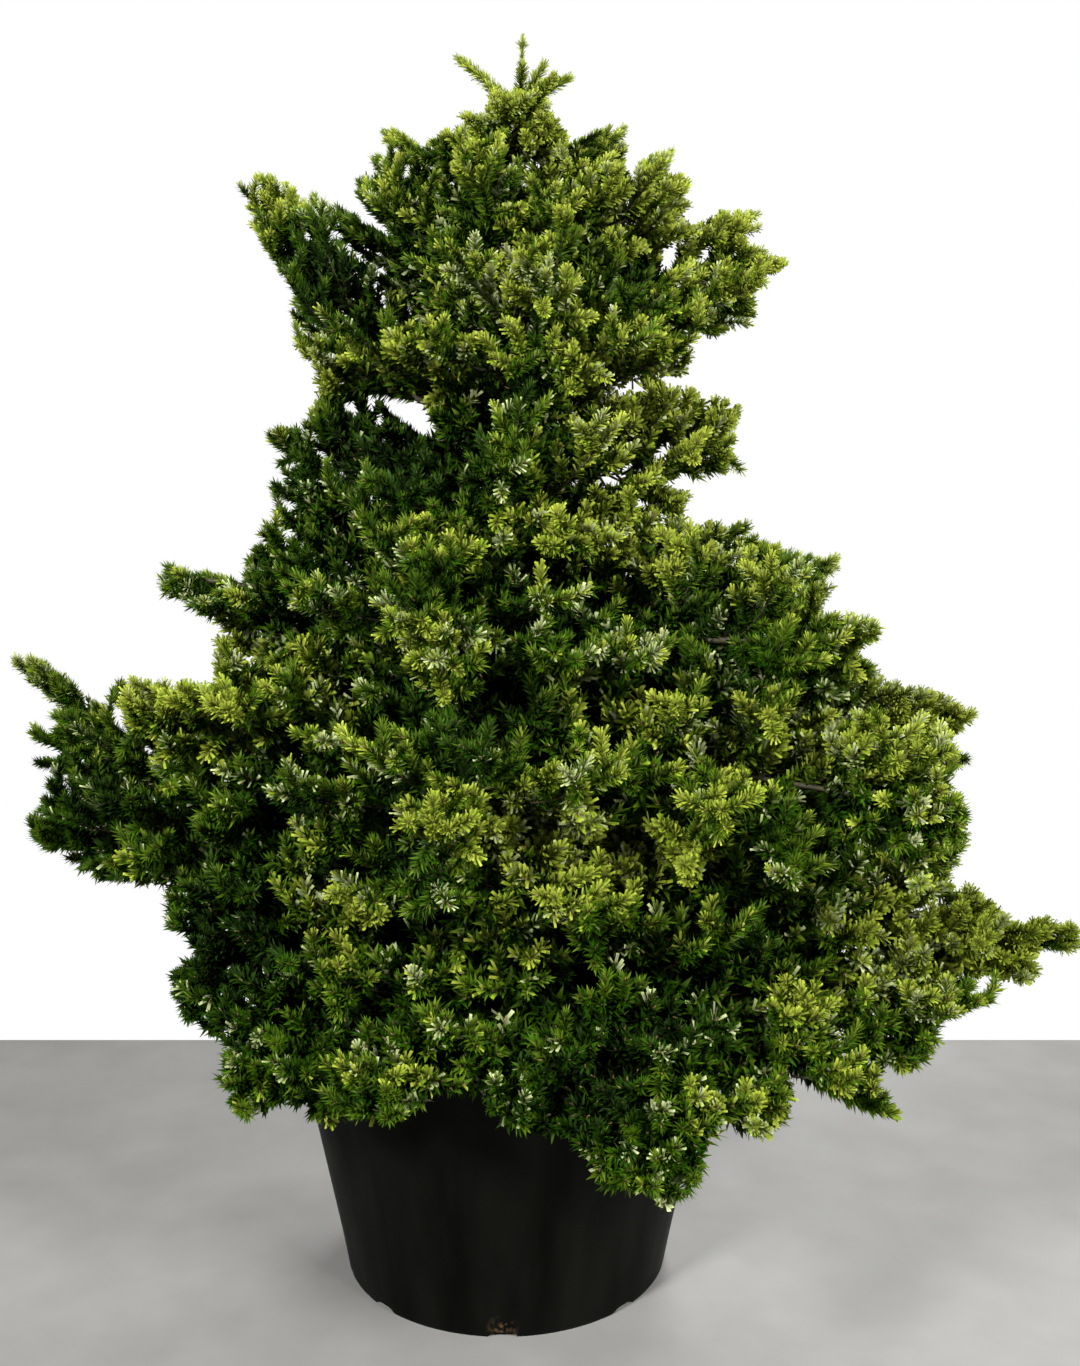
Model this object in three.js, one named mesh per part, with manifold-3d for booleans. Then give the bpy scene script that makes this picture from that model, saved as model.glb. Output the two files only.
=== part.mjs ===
// Korean fir in a nursery pot: pot, soil, trunk, main boughs and masses of needle sprays.
// Millimetres, +Z up. The origin is the centre of the pot's flat underside.

import * as THREE from "three";
import { mergeVertices } from "three/addons/utils/BufferGeometryUtils.js";
import Module from "manifold-3d";

const wasm = await Module();
wasm.setup();

// ---------------------------------------------------------------- driving dimensions

const GAP = 0.3;                  // between pieces that touch

const POT_HEIGHT = 400;
const POT_FOOT_RADIUS = 218;
const POT_TAPER = 0.206;          // wall leans out this much for each millimetre of height
const POT_WALL = 4;
const POT_FLOOR = 5;
const RIM_DROP = 26;              // height of the collar under the rim
const RIM_PROUD = 7;              // how far the collar stands out of the wall
const RIM_EDGE = 3;               // how much the collar's two edges are chamfered
const POT_SIDES = 32;
const NOTCH_COUNT = 8;            // drain notches round the bottom edge
const NOTCH_WIDTH = 30;
const NOTCH_HEIGHT = 9;
const NOTCH_DEPTH = 10;

const SOIL_TOP = 362;
const SOIL_CROWN = 8;             // the soil rises this much towards the trunk
const SOIL_DIP = 6;               // and lies this much lower at the pot's wall
const SOIL_MOUND = 108;           // radius of the level ground round the trunk

const TRUNK_TOP = 1535;
const TRUNK_RADIUS = 27;          // just above the root flare
const TRUNK_TIP_RADIUS = 3.5;
const FLARE = 15;                 // added to the radius at the soil
const FLARE_HEIGHT = 45;
const TRUNK_LEAN = 24;            // how far the tip leans towards +X
const TRUNK_SWAY = 7;             // a slight S bend on the way up
const TRUNK_SIDES = 10;
const TRUNK_STEPS = 12;
const TRUNK_SPACING = 1.35;       // above 1, the rings of the trunk lie closer near its foot
const TRUNK_CURVE = 0.85;         // below 1, the trunk thins a little faster towards its tip

const LIMB_SIDES = 6;
const LIMB_STEPS = 4;
const LIMB_TIP = 0.42;            // tip radius as a share of the foot radius
const LIMB_SWING = 0.09;          // a bough swings to one side by up to half this share of its reach
const LINE_STEPS = 8;             // of the line of points that stands for a mass's centre line

const TWIG_ANGLE = 50;            // degrees between a side twig and its stem
const TWIG_RADIUS = 4;
const SPRAY_RADIUS = 36;          // needles included
const SPRAY_PLACES = [0, 52, 116];    // rings of a spray, back from its tip
const SPRAY_WIDTHS = [0, 1, 0.8];     // and their radii, as shares of the spray's own
const SPRAY_LENGTH = 0.82;            // the most of a twig that its needles take up
const SMALLEST_SPRAY = 55;
const SPRAY_LENGTHS = [1, 0.92, 0.84, 0.76, 0.68, 0.6];   // tried one after another for a fit
const SPRAYS_FROM = 0.08;         // share of the mass where its first spray has its tip
const SPRAYS_OVER = 0.84;         // and the share that they are spread over
const PLACE_CHANCE = 0.6;         // how much of the way to the next a spray may move
const TURN_CHANCE = 0.9;          // and how far it may turn, in radians
const SIDEWAYS = 0.3;             // draws the sprays' turns towards the two sides
const END_WIDTHS = [0.8, 0.76, 0.72];                     // of the spray at the end of a stem
const END_LENGTH = 0.3;           // share of the mass that its end spray takes up
const GOLDEN_TURN = Math.PI * (3 - Math.sqrt(5));

const STEM_SIDES = 3;
const STEM_STEPS = 2;
const STEM_FOOT = 0.7;            // a stem's radius where it starts at the trunk, as a share of wood
const STEM_TIP = 0.5;             // its tip radius as a share of its foot radius
const STEM_START = 0.01;          // share of the bough's reach where it starts, inside the trunk
const STEM_END = 0.94;            // and where it ends
const CLEAR_OF_LIMB = 0.04;       // share of a mass on a limb that has no twigs

const SPACE_BETWEEN = 7;          // how much nearer a mass's own centre line has to be
const WOOD_CLEAR = 5;             // between a spray and the trunk or a limb
const POT_CLEAR = 12;             // between a spray and the pot or the soil
const CORE_SHARES = [0.74, 0.71, 0.68];   // size of a dense mass's core in the space it fills
const CORE_SIDES = 6;
const CORE_RINGS = 4;
const CORE_FOOT_AT_LIMB = 0.03;   // share of the mass where its core starts
const CORE_FOOT_AT_TRUNK = 0.12;
const CORE_END = 0.86;            // and where it ends
const WIDTH_SHAPE = { foot: 0.5, growth: 1.7, end: 0.42 };    // see bulge
const DEPTH_SHAPE = { foot: 0.6, growth: 1.4, end: 0.28 };
const SHARE_STEP = 0.06;          // by which a mass is drawn in to fit its space
const LEAST_SHARE = 0.15;

// Each tier is a whorl of boughs, which leave the trunk within its rise. A bough is
// [azimuth, reach, tip height]: degrees round from +X towards +Y, then millimetres from the
// trunk's centre line and above the pot's underside. limb is the share of a bough that is bare
// wood, 0 where its mass sits on the trunk itself. arch lifts the middle of the bough, and a
// fourth number of a bough is its own arch. spread and depth are the widest half width and half
// height of its mass, and sprays is how many stand out of it.
const TIERS = [
  {
    name: "top", foot: 1450, rise: 50, limb: 0, arch: -6, spread: 165, depth: 66, wood: 4, sprays: 10,
    boughs: [[14, 172, 1505], [146, 189, 1512], [262, 165, 1490]],
  },
  {
    name: "upper", foot: 1320, rise: 60, limb: 0, arch: -25, spread: 220, depth: 125, wood: 5, sprays: 11,
    boughs: [[350, 246, 1462], [70, 240, 1430], [172, 216, 1446], [262, 230, 1400]],
  },
  {
    name: "high", foot: 1175, rise: 70, limb: 0, arch: -8, spread: 300, depth: 145, wood: 7, sprays: 12,
    boughs: [[6, 378, 1352, 20], [96, 335, 1300], [187, 350, 1445, -105], [278, 310, 1270]],
  },
  {
    name: "waist", foot: 1025, rise: 80, limb: 0, arch: -10, spread: 300, depth: 135, wood: 8, sprays: 11,
    boughs: [[352, 322, 1095], [85, 330, 1090], [180, 320, 1120, -30], [268, 310, 1060]],
  },
  {
    name: "shoulder", foot: 870, rise: 80, limb: 0, arch: 0, spread: 350, depth: 130, wood: 9, sprays: 13,
    boughs: [
      [10, 470, 945], [98, 470, 930], [187, 455, 938, 15], [255, 430, 900], [326, 515, 872],
    ],
  },
  {
    name: "middle", foot: 700, rise: 100, limb: 0.25, arch: 10, spread: 370, depth: 130, wood: 11, sprays: 13,
    boughs: [
      [3, 655, 738], [55, 620, 740], [112, 610, 740], [172, 700, 835, -150], [209, 500, 770],
      [262, 510, 700], [320, 625, 695],
    ],
  },
  {
    name: "low", foot: 530, rise: 120, limb: 0.27, arch: 40, spread: 380, depth: 140, wood: 12, sprays: 11,
    boughs: [
      [351, 735, 468, -10], [334, 625, 345, 60], [316, 565, 312, 50], [291, 555, 320], [259, 480, 340],
      [228, 470, 345], [209, 470, 425, 80], [187, 640, 608, 10], [137, 660, 480], [88, 650, 470],
      [38, 690, 480],
    ],
  },
];

// The leader is the trunk's last upright shoot, with a whorl of [azimuth, reach, tip height] shoots.
const LEADER_HEIGHT = 1622;
const LEADER_TIP = 0.25;          // its tip radius as a share of the trunk's
const LEADER_NEEDLES = 10;
const SHOOT_NEEDLES = 15;
const LEADER_SHOOTS = [[182, 82, 1597], [8, 69, 1577], [95, 66, 1575], [275, 60, 1570]];

// ---------------------------------------------------------------- plain helpers

const UP = new THREE.Vector3(0, 0, 1);
const radians = THREE.MathUtils.degToRad;

// A number from 0 to 1 that depends only on the mass, the twig and what it is used for.
function chance(mass, twig, use) {
  const s = Math.sin(mass * 127.1 + twig * 311.7 + use * 74.7) * 43758.5453;
  return s - Math.floor(s);
}

const SAME_POINT = 1e-3;          // corners nearer than this are one

function solidOf(geometry) {
  const bare = geometry.clone();
  bare.deleteAttribute("normal");
  bare.deleteAttribute("uv");
  const merged = mergeVertices(bare, SAME_POINT);
  return new wasm.Manifold(new wasm.Mesh({
    numProp: 3,
    vertProperties: new Float32Array(merged.attributes.position.array),
    triVerts: new Uint32Array(merged.index.array),
  }));
}

function geometryOf(solid) {
  const mesh = solid.getMesh();
  const geometry = new THREE.BufferGeometry();
  geometry.setAttribute("position", new THREE.BufferAttribute(new Float32Array(mesh.vertProperties), 3));
  geometry.setIndex(new THREE.BufferAttribute(new Uint32Array(mesh.triVerts), 1));
  geometry.computeVertexNormals();
  return geometry;
}

// The largest body of a joined solid: loose scraps are dropped and sealed hollows filled. It is
// taken twice, because merging its corners may part a scrap that hung on by one of them.
function wholeGeometry(solid) {
  const largest = (one) => one.decompose().reduce((a, b) => (b.volume() > a.volume() ? b : a));
  return geometryOf(largest(solidOf(geometryOf(largest(solid)))));
}

// Whether every edge of a solid, once made whole, is shared by just two faces, so that no two
// sheets of its surface meet along an edge.
function hasCleanEdges(solid) {
  const mesh = solidOf(wholeGeometry(solid)).getMesh();
  const uses = new Map();
  for (let i = 0; i < mesh.triVerts.length; i++) {
    const next = i % 3 === 2 ? i - 2 : i + 1;
    const ends = [mesh.triVerts[i], mesh.triVerts[next]].map((v) => {
      const corner = mesh.vertProperties.subarray(3 * v, 3 * v + 3);
      return Array.from(corner, (value) => Math.round(value / SAME_POINT)).join();
    });
    const edge = ends.sort().join(" ");
    uses.set(edge, (uses.get(edge) ?? 0) + 1);
  }
  return Array.from(uses.values()).every((count) => count === 2);
}

// Joins solids one by one, and leaves out any that would spoil the surface.
function joined(solids) {
  return solids.reduce((all, next) => {
    const both = all.add(next);
    return hasCleanEdges(both) ? both : all;
  });
}

// Nearest distance from a point to a line of points.
const nearest = new THREE.Vector3();
const stretch = new THREE.Line3();

function distanceToLine(point, line) {
  let best = Infinity;
  for (let i = 1; i < line.length; i++) {
    stretch.set(line[i - 1], line[i]);
    stretch.closestPointToPoint(point, true, nearest);
    best = Math.min(best, nearest.distanceTo(point));
  }
  return best;
}

// ---------------------------------------------------------------- limbs and sprays

// A tapering limb: a unit cylinder whose rings are carried along a path. path(t) is its centre
// line, radius(t) its radius, side a direction across it. Its rings are square to the path, or
// to one fixed direction where that is given.
function limbGeometry(path, radius, side, sides, steps, fixed) {
  const geometry = new THREE.CylinderGeometry(1, 1, 1, sides, steps);
  const place = geometry.attributes.position;
  const vertex = new THREE.Vector3();
  for (let i = 0; i < place.count; i++) {
    vertex.fromBufferAttribute(place, i);
    const t = vertex.y + 0.5;
    const along = fixed ?? path(Math.min(t + 0.01, 1)).sub(path(Math.max(t - 0.01, 0))).normalize();
    const u = side.clone().addScaledVector(along, -side.dot(along)).normalize();
    const v = new THREE.Vector3().crossVectors(u, along);
    const point = path(t).addScaledVector(u, vertex.x * radius(t)).addScaledVector(v, vertex.z * radius(t));
    place.setXYZ(i, point.x, point.y, point.z);
  }
  return geometry;
}

// A side twig and its spray of needles in one: a three-sided twig whose outer end is a slim core
// with rings of points that stand out of it. Each ring is turned by half a step, so that its
// points fall between those of the next one.
function sprayGeometry(foot, tip, radius) {
  const rings = SPRAY_PLACES.length;
  const geometry = new THREE.CylinderGeometry(0, 1, 1, 3, rings);
  const along = tip.clone().sub(foot);
  const length = along.length();
  const shrink = Math.min(1, SPRAY_LENGTH * length / SPRAY_PLACES[rings - 1]);
  along.normalize();
  const across = Math.abs(along.z) < 0.9 ? UP : new THREE.Vector3(1, 0, 0);
  const u = new THREE.Vector3().crossVectors(across, along).normalize();
  const v = new THREE.Vector3().crossVectors(u, along);
  const place = geometry.attributes.position;
  const vertex = new THREE.Vector3();
  for (let i = 0; i < place.count; i++) {
    vertex.fromBufferAttribute(place, i);
    const ring = Math.round((0.5 - vertex.y) * rings);
    const turn = Math.atan2(vertex.z, vertex.x) + ring * Math.PI / 3;
    const back = ring === rings ? length : SPRAY_PLACES[ring] * shrink;
    const outward = ring === rings ? TWIG_RADIUS : SPRAY_WIDTHS[ring] * radius;
    const width = Math.hypot(vertex.x, vertex.z) > 1e-6 ? outward : 0;
    const point = tip.clone().addScaledVector(along, -back);
    point.addScaledVector(u, Math.cos(turn) * width).addScaledVector(v, Math.sin(turn) * width);
    place.setXYZ(i, point.x, point.y, point.z);
  }
  return geometry;
}

// ---------------------------------------------------------------- pot and soil

const radiusAtHeight = (height) => POT_FOOT_RADIUS + POT_TAPER * height;

function potGeometry() {
  const inner = (height) => radiusAtHeight(height) - POT_WALL;
  const collar = POT_HEIGHT - RIM_DROP;
  const profile = [
    [0, 0],
    [POT_FOOT_RADIUS, 0],
    [radiusAtHeight(collar), collar],
    [radiusAtHeight(collar) + RIM_PROUD, collar + RIM_EDGE],
    [radiusAtHeight(POT_HEIGHT) + RIM_PROUD, POT_HEIGHT - RIM_EDGE],
    [radiusAtHeight(POT_HEIGHT) + RIM_PROUD - RIM_EDGE, POT_HEIGHT],
    [inner(POT_HEIGHT), POT_HEIGHT],
    [inner(POT_FLOOR), POT_FLOOR],
    [0, POT_FLOOR],
  ].map(([x, y]) => new THREE.Vector2(x, y));
  const geometry = new THREE.LatheGeometry(profile, POT_SIDES);
  geometry.rotateX(Math.PI / 2);
  let solid = solidOf(geometry);
  for (let i = 0; i < NOTCH_COUNT; i++) {
    const turn = radians(-90 + 360 * i / NOTCH_COUNT);
    const notch = new THREE.BoxGeometry(2 * NOTCH_DEPTH, NOTCH_WIDTH, 2 * NOTCH_HEIGHT);
    notch.translate(POT_FOOT_RADIUS, 0, 0);
    notch.rotateZ(turn);
    solid = solid.subtract(solidOf(notch));
  }
  return wholeGeometry(solid);
}

// The pot with all that is in it as one plain form, grown by a gap all over.
function potOutline() {
  const rim = radiusAtHeight(POT_HEIGHT) + RIM_PROUD + GAP;
  const profile = [[0, -GAP], [rim, -GAP], [rim, POT_HEIGHT + GAP], [0, POT_HEIGHT + GAP]];
  const geometry = new THREE.LatheGeometry(profile.map(([x, y]) => new THREE.Vector2(x, y)), POT_SIDES);
  geometry.rotateX(Math.PI / 2);
  return geometry;
}

function soilGeometry() {
  const inner = (height) => radiusAtHeight(height) - POT_WALL - 2 * GAP;
  const foot = POT_FLOOR + GAP;
  const profile = [
    [0, foot],
    [inner(foot) - NOTCH_DEPTH, foot],
    [inner(foot + 2 * NOTCH_HEIGHT), foot + 2 * NOTCH_HEIGHT],
    [inner(SOIL_TOP - SOIL_DIP), SOIL_TOP - SOIL_DIP],
    [SOIL_MOUND, SOIL_TOP + SOIL_CROWN],
    [0, SOIL_TOP + SOIL_CROWN],
  ].map(([x, y]) => new THREE.Vector2(x, y));
  const geometry = new THREE.LatheGeometry(profile, POT_SIDES);
  geometry.rotateX(Math.PI / 2);
  return wholeGeometry(solidOf(geometry));
}

// ---------------------------------------------------------------- trunk

// The trunk's centre line at a height above the pot's underside.
function trunkCentre(height) {
  const s = (height - SOIL_TOP) / (LEADER_HEIGHT - SOIL_TOP);
  const sway = TRUNK_SWAY * Math.sin(2 * Math.PI * s);
  return new THREE.Vector3(TRUNK_LEAN * s + sway, -sway, height);
}

function trunkRadius(height) {
  const s = (height - SOIL_TOP) / (TRUNK_TOP - SOIL_TOP);
  const flare = FLARE * Math.exp(-(height - SOIL_TOP - SOIL_CROWN) / FLARE_HEIGHT);
  return TRUNK_TIP_RADIUS + (TRUNK_RADIUS - TRUNK_TIP_RADIUS) * Math.pow(1 - s, TRUNK_CURVE) + flare;
}

// The trunk as a solid, grown by some thickness all over so that its neighbours can be cut clear.
function trunkGeometry(extra) {
  const foot = SOIL_TOP + SOIL_CROWN + GAP;
  const heightAt = (t) => foot + (TRUNK_TOP - foot) * Math.pow(t, TRUNK_SPACING);
  const path = (t) => trunkCentre(heightAt(t) + extra * (2 * t - 1));
  const radius = (t) => trunkRadius(heightAt(t)) + extra;
  return limbGeometry(path, radius, new THREE.Vector3(1, 0, 0), TRUNK_SIDES, TRUNK_STEPS, UP);
}

// What a mass's stem and core are cut clear of.
const nearWoodAndPot = solidOf(trunkGeometry(GAP)).add(solidOf(potOutline()));

// ---------------------------------------------------------------- boughs

// A bough with its centre line from the trunk to its furthest tip. The boughs of a tier leave the
// trunk at different rungs of its rise, no two neighbours at the same one. The centre line is
// lifted by the arch, and swings a little to one side and back on its way out.
function makeBough(tier, index, [azimuth, reach, tipHeight, arch = tier.arch], order) {
  const count = tier.boughs.length;
  const turn = radians(azimuth);
  const out = new THREE.Vector3(Math.cos(turn), Math.sin(turn), 0);
  const side = new THREE.Vector3(-Math.sin(turn), Math.cos(turn), 0);
  const rung = (3 * index + count - 1) % count;
  const foot = trunkCentre(tier.foot + tier.rise * (rung / (count - 1) - 0.5));
  const swing = (chance(order, 0, 1) - 0.5) * LIMB_SWING * reach;
  const path = (t) => {
    const point = foot.clone().addScaledVector(out, reach * t);
    point.addScaledVector(side, swing * Math.sin(Math.PI * t));
    point.z += (tipHeight - foot.z) * t + arch * 4 * t * (1 - t);
    return point;
  };
  const start = tier.limb;
  const clear = start > 0 ? CLEAR_OF_LIMB : (trunkRadius(foot.z) + WOOD_CLEAR + 3 * TWIG_RADIUS) / reach;
  const line = [];
  for (let i = 0; i <= LINE_STEPS; i++) line.push(path(start + (1 - start) * i / LINE_STEPS));
  return { tier, order, name: `${tier.name}_${index + 1}`, path, side, reach, start, clear, line };
}

const boughs = [];
for (const tier of TIERS) {
  tier.boughs.forEach((size, i) => boughs.push(makeBough(tier, i, size, boughs.length + 1)));
}

// The bare limb of a bough, from inside the trunk out to where its mass begins.
function limbOf(bough) {
  const path = (t) => bough.path(t * bough.start);
  const radius = (t) => bough.tier.wood * (1 - (1 - LIMB_TIP) * t);
  return { path, radius, line: [0, 0.25, 0.5, 0.75, 1].map(path) };
}

const limbs = boughs.filter((bough) => bough.start > 0).map(limbOf);

// ---------------------------------------------------------------- the space of each mass

function insidePot(point) {
  const outward = Math.hypot(point.x, point.y);
  const rim = POT_FOOT_RADIUS + POT_TAPER * POT_HEIGHT + RIM_PROUD;
  if (outward > rim + POT_CLEAR) return point.z < 0;
  return point.z < POT_HEIGHT + POT_CLEAR;
}

// A point is free for a mass where it is clear of pot, trunk and limbs, and nearer to the
// mass's own centre line than to any other.
function isFree(point, bough) {
  if (insidePot(point)) return false;
  if (point.z < TRUNK_TOP) {
    const aside = Math.hypot(point.x - trunkCentre(point.z).x, point.y - trunkCentre(point.z).y);
    if (aside < trunkRadius(point.z) + WOOD_CLEAR) return false;
  }
  const own = distanceToLine(point, bough.line);
  for (const other of boughs) {
    if (other !== bough && distanceToLine(point, other.line) < own + SPACE_BETWEEN) return false;
  }
  return limbs.every((limb) => distanceToLine(point, limb.line) > limb.radius(0) + WOOD_CLEAR);
}

// A geometry is free where all its corners and the middles of its edges are.
function geometryIsFree(geometry, bough) {
  const place = geometry.attributes.position;
  const index = geometry.index.array;
  const one = new THREE.Vector3();
  const two = new THREE.Vector3();
  for (let i = 0; i < index.length; i++) {
    const next = i % 3 === 2 ? i - 2 : i + 1;
    one.fromBufferAttribute(place, index[i]);
    two.fromBufferAttribute(place, index[next]);
    if (!isFree(one, bough) || !isFree(one.lerp(two, 0.5), bough)) return false;
  }
  return true;
}

// ---------------------------------------------------------------- masses

// How wide or deep a mass is at share s of its length, from 0 to 1: it starts at shape.foot, grows
// in a straight line, and closes in a curve towards its end.
function bulge(shape, s) {
  return Math.min(1, shape.foot + shape.growth * s) * Math.pow(1 - s, shape.end);
}

// The space that a mass fills round its centre line, at share s of its own length: half its
// width and half its height.
const massWidth = (tier, s) => tier.spread * bulge(WIDTH_SHAPE, s);
const massDepth = (tier, s) => tier.depth * bulge(DEPTH_SHAPE, s);

// A point of a mass: share s out along it, turned round its centre line, and some share of the
// way from there to the edge of its space.
function massPoint(bough, s, turn, share) {
  const { path, side, start, tier } = bough;
  const point = path(start + (1 - start) * s);
  point.addScaledVector(side, share * Math.cos(turn) * massWidth(tier, s));
  point.addScaledVector(UP, share * Math.sin(turn) * massDepth(tier, s));
  return point;
}

// How much of the way to the edge of its space a mass can grow at a place on it, before it
// leaves the space or touches wood or pot.
function freeShare(bough, s, turn) {
  let share = 1;
  while (share > LEAST_SHARE && !isFree(massPoint(bough, s, turn, share), bough)) share -= SHARE_STEP;
  return share;
}

// The core of a dense mass: a round form that takes up some share of its free space.
function coreGeometry(bough, size) {
  const geometry = new THREE.SphereGeometry(1, CORE_SIDES, CORE_RINGS);
  const place = geometry.attributes.position;
  const vertex = new THREE.Vector3();
  const from = bough.start > 0 ? CORE_FOOT_AT_LIMB : CORE_FOOT_AT_TRUNK;
  for (let i = 0; i < place.count; i++) {
    vertex.fromBufferAttribute(place, i);
    const s = from + (CORE_END - from) * (vertex.y + 1) / 2;
    const turn = Math.atan2(vertex.z, -vertex.x);
    const full = Math.sqrt(Math.hypot(vertex.x, vertex.z));
    const point = massPoint(bough, s, turn, full > 0 ? size * full * freeShare(bough, s, turn) : 0);
    place.setXYZ(i, point.x, point.y, point.z);
  }
  return geometry;
}

// The sprays of a mass, one after another round and along its stem by the golden angle, with
// the most of them out to the two sides. Each has its tip at the edge of the mass's free space,
// and leaves the stem at the twig angle behind it.
function sprayEnds(bough, number) {
  const { tier, start, reach, path, order, clear } = bough;
  const s = SPRAYS_FROM + SPRAYS_OVER * (number + PLACE_CHANCE * chance(order, number, 2)) / tier.sprays;
  const round = number * GOLDEN_TURN + TURN_CHANCE * chance(order, number, 3);
  const turn = round + SIDEWAYS * Math.sin(2 * round);
  const share = freeShare(bough, s, turn);
  const across = share * Math.hypot(Math.cos(turn) * massWidth(tier, s), Math.sin(turn) * massDepth(tier, s));
  const back = across / Math.tan(radians(TWIG_ANGLE)) / (reach * (1 - start));
  const tip = massPoint(bough, s, turn, share);
  const foot = path(start + (1 - start) * Math.max(clear, s - back));
  return { foot, tip };
}

function massSolid(bough) {
  const { path, side, start, tier, reach } = bough;
  const stemRadius = tier.wood * (start > 0 ? LIMB_TIP : STEM_FOOT);
  const from = start > 0 ? start + GAP / reach : STEM_START;
  const stemPath = (t) => path(from + (STEM_END - from) * t);
  const taper = (t) => stemRadius * (1 - (1 - STEM_TIP) * t);
  const stem = limbGeometry(stemPath, taper, side, STEM_SIDES, STEM_STEPS);
  const grown = CORE_SHARES.map((size) => solidOf(stem).add(solidOf(coreGeometry(bough, size))));
  const pieces = [grown.map((solid) => solid.subtract(nearWoodAndPot)).find(hasCleanEdges)];
  for (const width of END_WIDTHS) {
    const end = solidOf(sprayGeometry(path(1 - END_LENGTH * (1 - start)), path(1), SPRAY_RADIUS * width));
    if (!hasCleanEdges(pieces[0].add(end))) continue;
    pieces.push(end);
    break;
  }
  for (let number = 0; number < tier.sprays; number++) {
    const { foot, tip } = sprayEnds(bough, number);
    for (const share of SPRAY_LENGTHS) {
      const end = foot.clone().lerp(tip, share);
      const needles = sprayGeometry(foot, end, SPRAY_RADIUS * (0.5 + 0.5 * share));
      if (end.distanceTo(foot) < SMALLEST_SPRAY || !geometryIsFree(needles, bough)) continue;
      pieces.push(solidOf(needles));
      break;
    }
  }
  return joined(pieces);
}

// The leader, with its whorl of short shoots fused round its foot.
function leaderSolid() {
  const foot = trunkCentre(TRUNK_TOP + GAP);
  const tip = trunkCentre(LEADER_HEIGHT);
  const path = (t) => foot.clone().lerp(tip, t);
  const taper = (t) => TRUNK_TIP_RADIUS * (1 - (1 - LEADER_TIP) * t);
  const stem = limbGeometry(path, taper, new THREE.Vector3(1, 0, 0), STEM_SIDES, 1);
  const pieces = [solidOf(stem), solidOf(sprayGeometry(path(0.05), tip, LEADER_NEEDLES))];
  for (const [azimuth, reach, height] of LEADER_SHOOTS) {
    const turn = radians(azimuth);
    const end = new THREE.Vector3(foot.x + reach * Math.cos(turn), foot.y + reach * Math.sin(turn), height);
    pieces.push(solidOf(sprayGeometry(path(0.1), end, SHOOT_NEEDLES)));
  }
  return joined(pieces);
}

// ---------------------------------------------------------------- the whole plant

const fir = new THREE.Group();

function place(name, geometry, colour, roughness) {
  const material = new THREE.MeshStandardMaterial({ color: colour, roughness, metalness: 0 });
  const mesh = new THREE.Mesh(geometry, material);
  mesh.name = name;
  fir.add(mesh);
}

place("pot", potGeometry(), 0x1b1c1c, 0.55);
place("soil", soilGeometry(), 0x33271c, 0.95);
place("trunk", wholeGeometry(solidOf(trunkGeometry(0))), 0x6b5a49, 0.85);
place("mass_leader", wholeGeometry(leaderSolid()), 0x5c7a34, 0.6);

for (const bough of boughs) {
  if (bough.start > 0) {
    const { path, radius } = limbOf(bough);
    const limb = solidOf(limbGeometry(path, radius, bough.side, LIMB_SIDES, LIMB_STEPS));
    place(`bough_${bough.name}`, wholeGeometry(limb.subtract(nearWoodAndPot)), 0x6f5f4c, 0.85);
  }
  place(`mass_${bough.name}`, wholeGeometry(massSolid(bough)), 0x2f5a26, 0.6);
}

export default fir;
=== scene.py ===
# Korean fir in a nursery pot: needles, twigs, bark, soil and pot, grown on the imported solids.
# Metres, +Z up. The origin is the centre of the pot's flat underside, and -Y is the front.

import math

import bpy
import numpy as np
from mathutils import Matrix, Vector


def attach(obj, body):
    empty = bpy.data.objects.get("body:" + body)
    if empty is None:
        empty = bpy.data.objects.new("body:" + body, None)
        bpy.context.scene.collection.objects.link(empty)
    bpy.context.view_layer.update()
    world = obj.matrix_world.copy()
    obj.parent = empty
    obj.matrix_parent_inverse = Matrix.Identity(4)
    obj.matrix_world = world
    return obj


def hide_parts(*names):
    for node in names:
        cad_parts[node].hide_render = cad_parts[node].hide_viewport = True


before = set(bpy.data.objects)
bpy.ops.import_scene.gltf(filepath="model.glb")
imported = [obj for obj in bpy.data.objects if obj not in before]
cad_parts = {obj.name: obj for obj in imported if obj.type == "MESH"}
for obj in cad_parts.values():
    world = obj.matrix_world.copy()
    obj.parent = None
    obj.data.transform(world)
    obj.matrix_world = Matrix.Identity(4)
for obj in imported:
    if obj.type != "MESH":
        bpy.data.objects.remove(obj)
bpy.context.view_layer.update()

# ---------------------------------------------------------------- sizes shared with the solids

GAP = 0.0003  # between the soil and the pot

POT_HEIGHT = 0.400
POT_FOOT_RADIUS = 0.218
POT_TAPER = 0.206  # the wall leans out this much for each metre of height
POT_WALL = 0.004
POT_FLOOR = 0.005
RIM_DROP = 0.026  # height of the collar under the rim
RIM_PROUD = 0.007  # how far the collar stands out of the wall
RIM_RADIUS = POT_FOOT_RADIUS + POT_TAPER * POT_HEIGHT + RIM_PROUD
NOTCH_COUNT = 8  # drain notches round the bottom edge
NOTCH_WIDTH = 0.030
NOTCH_HEIGHT = 0.009
NOTCH_DEPTH = 0.010

SOIL_TOP = 0.362
SOIL_CROWN = 0.008  # the soil rises this much towards the trunk
SOIL_DIP = 0.006  # and lies this much lower at the pot's wall
SOIL_MOUND = 0.108  # radius of the level ground round the trunk

TRUNK_TOP = 1.535
TRUNK_RADIUS = 0.027  # just above the root flare
TRUNK_TIP_RADIUS = 0.0035
FLARE = 0.015  # added to the radius at the soil
FLARE_HEIGHT = 0.045
TRUNK_LEAN = 0.024  # how far the tip leans towards +X
TRUNK_SWAY = 0.007  # a slight S bend on the way up
TRUNK_CURVE = 0.85  # below 1, the trunk thins a little faster towards its tip

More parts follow.
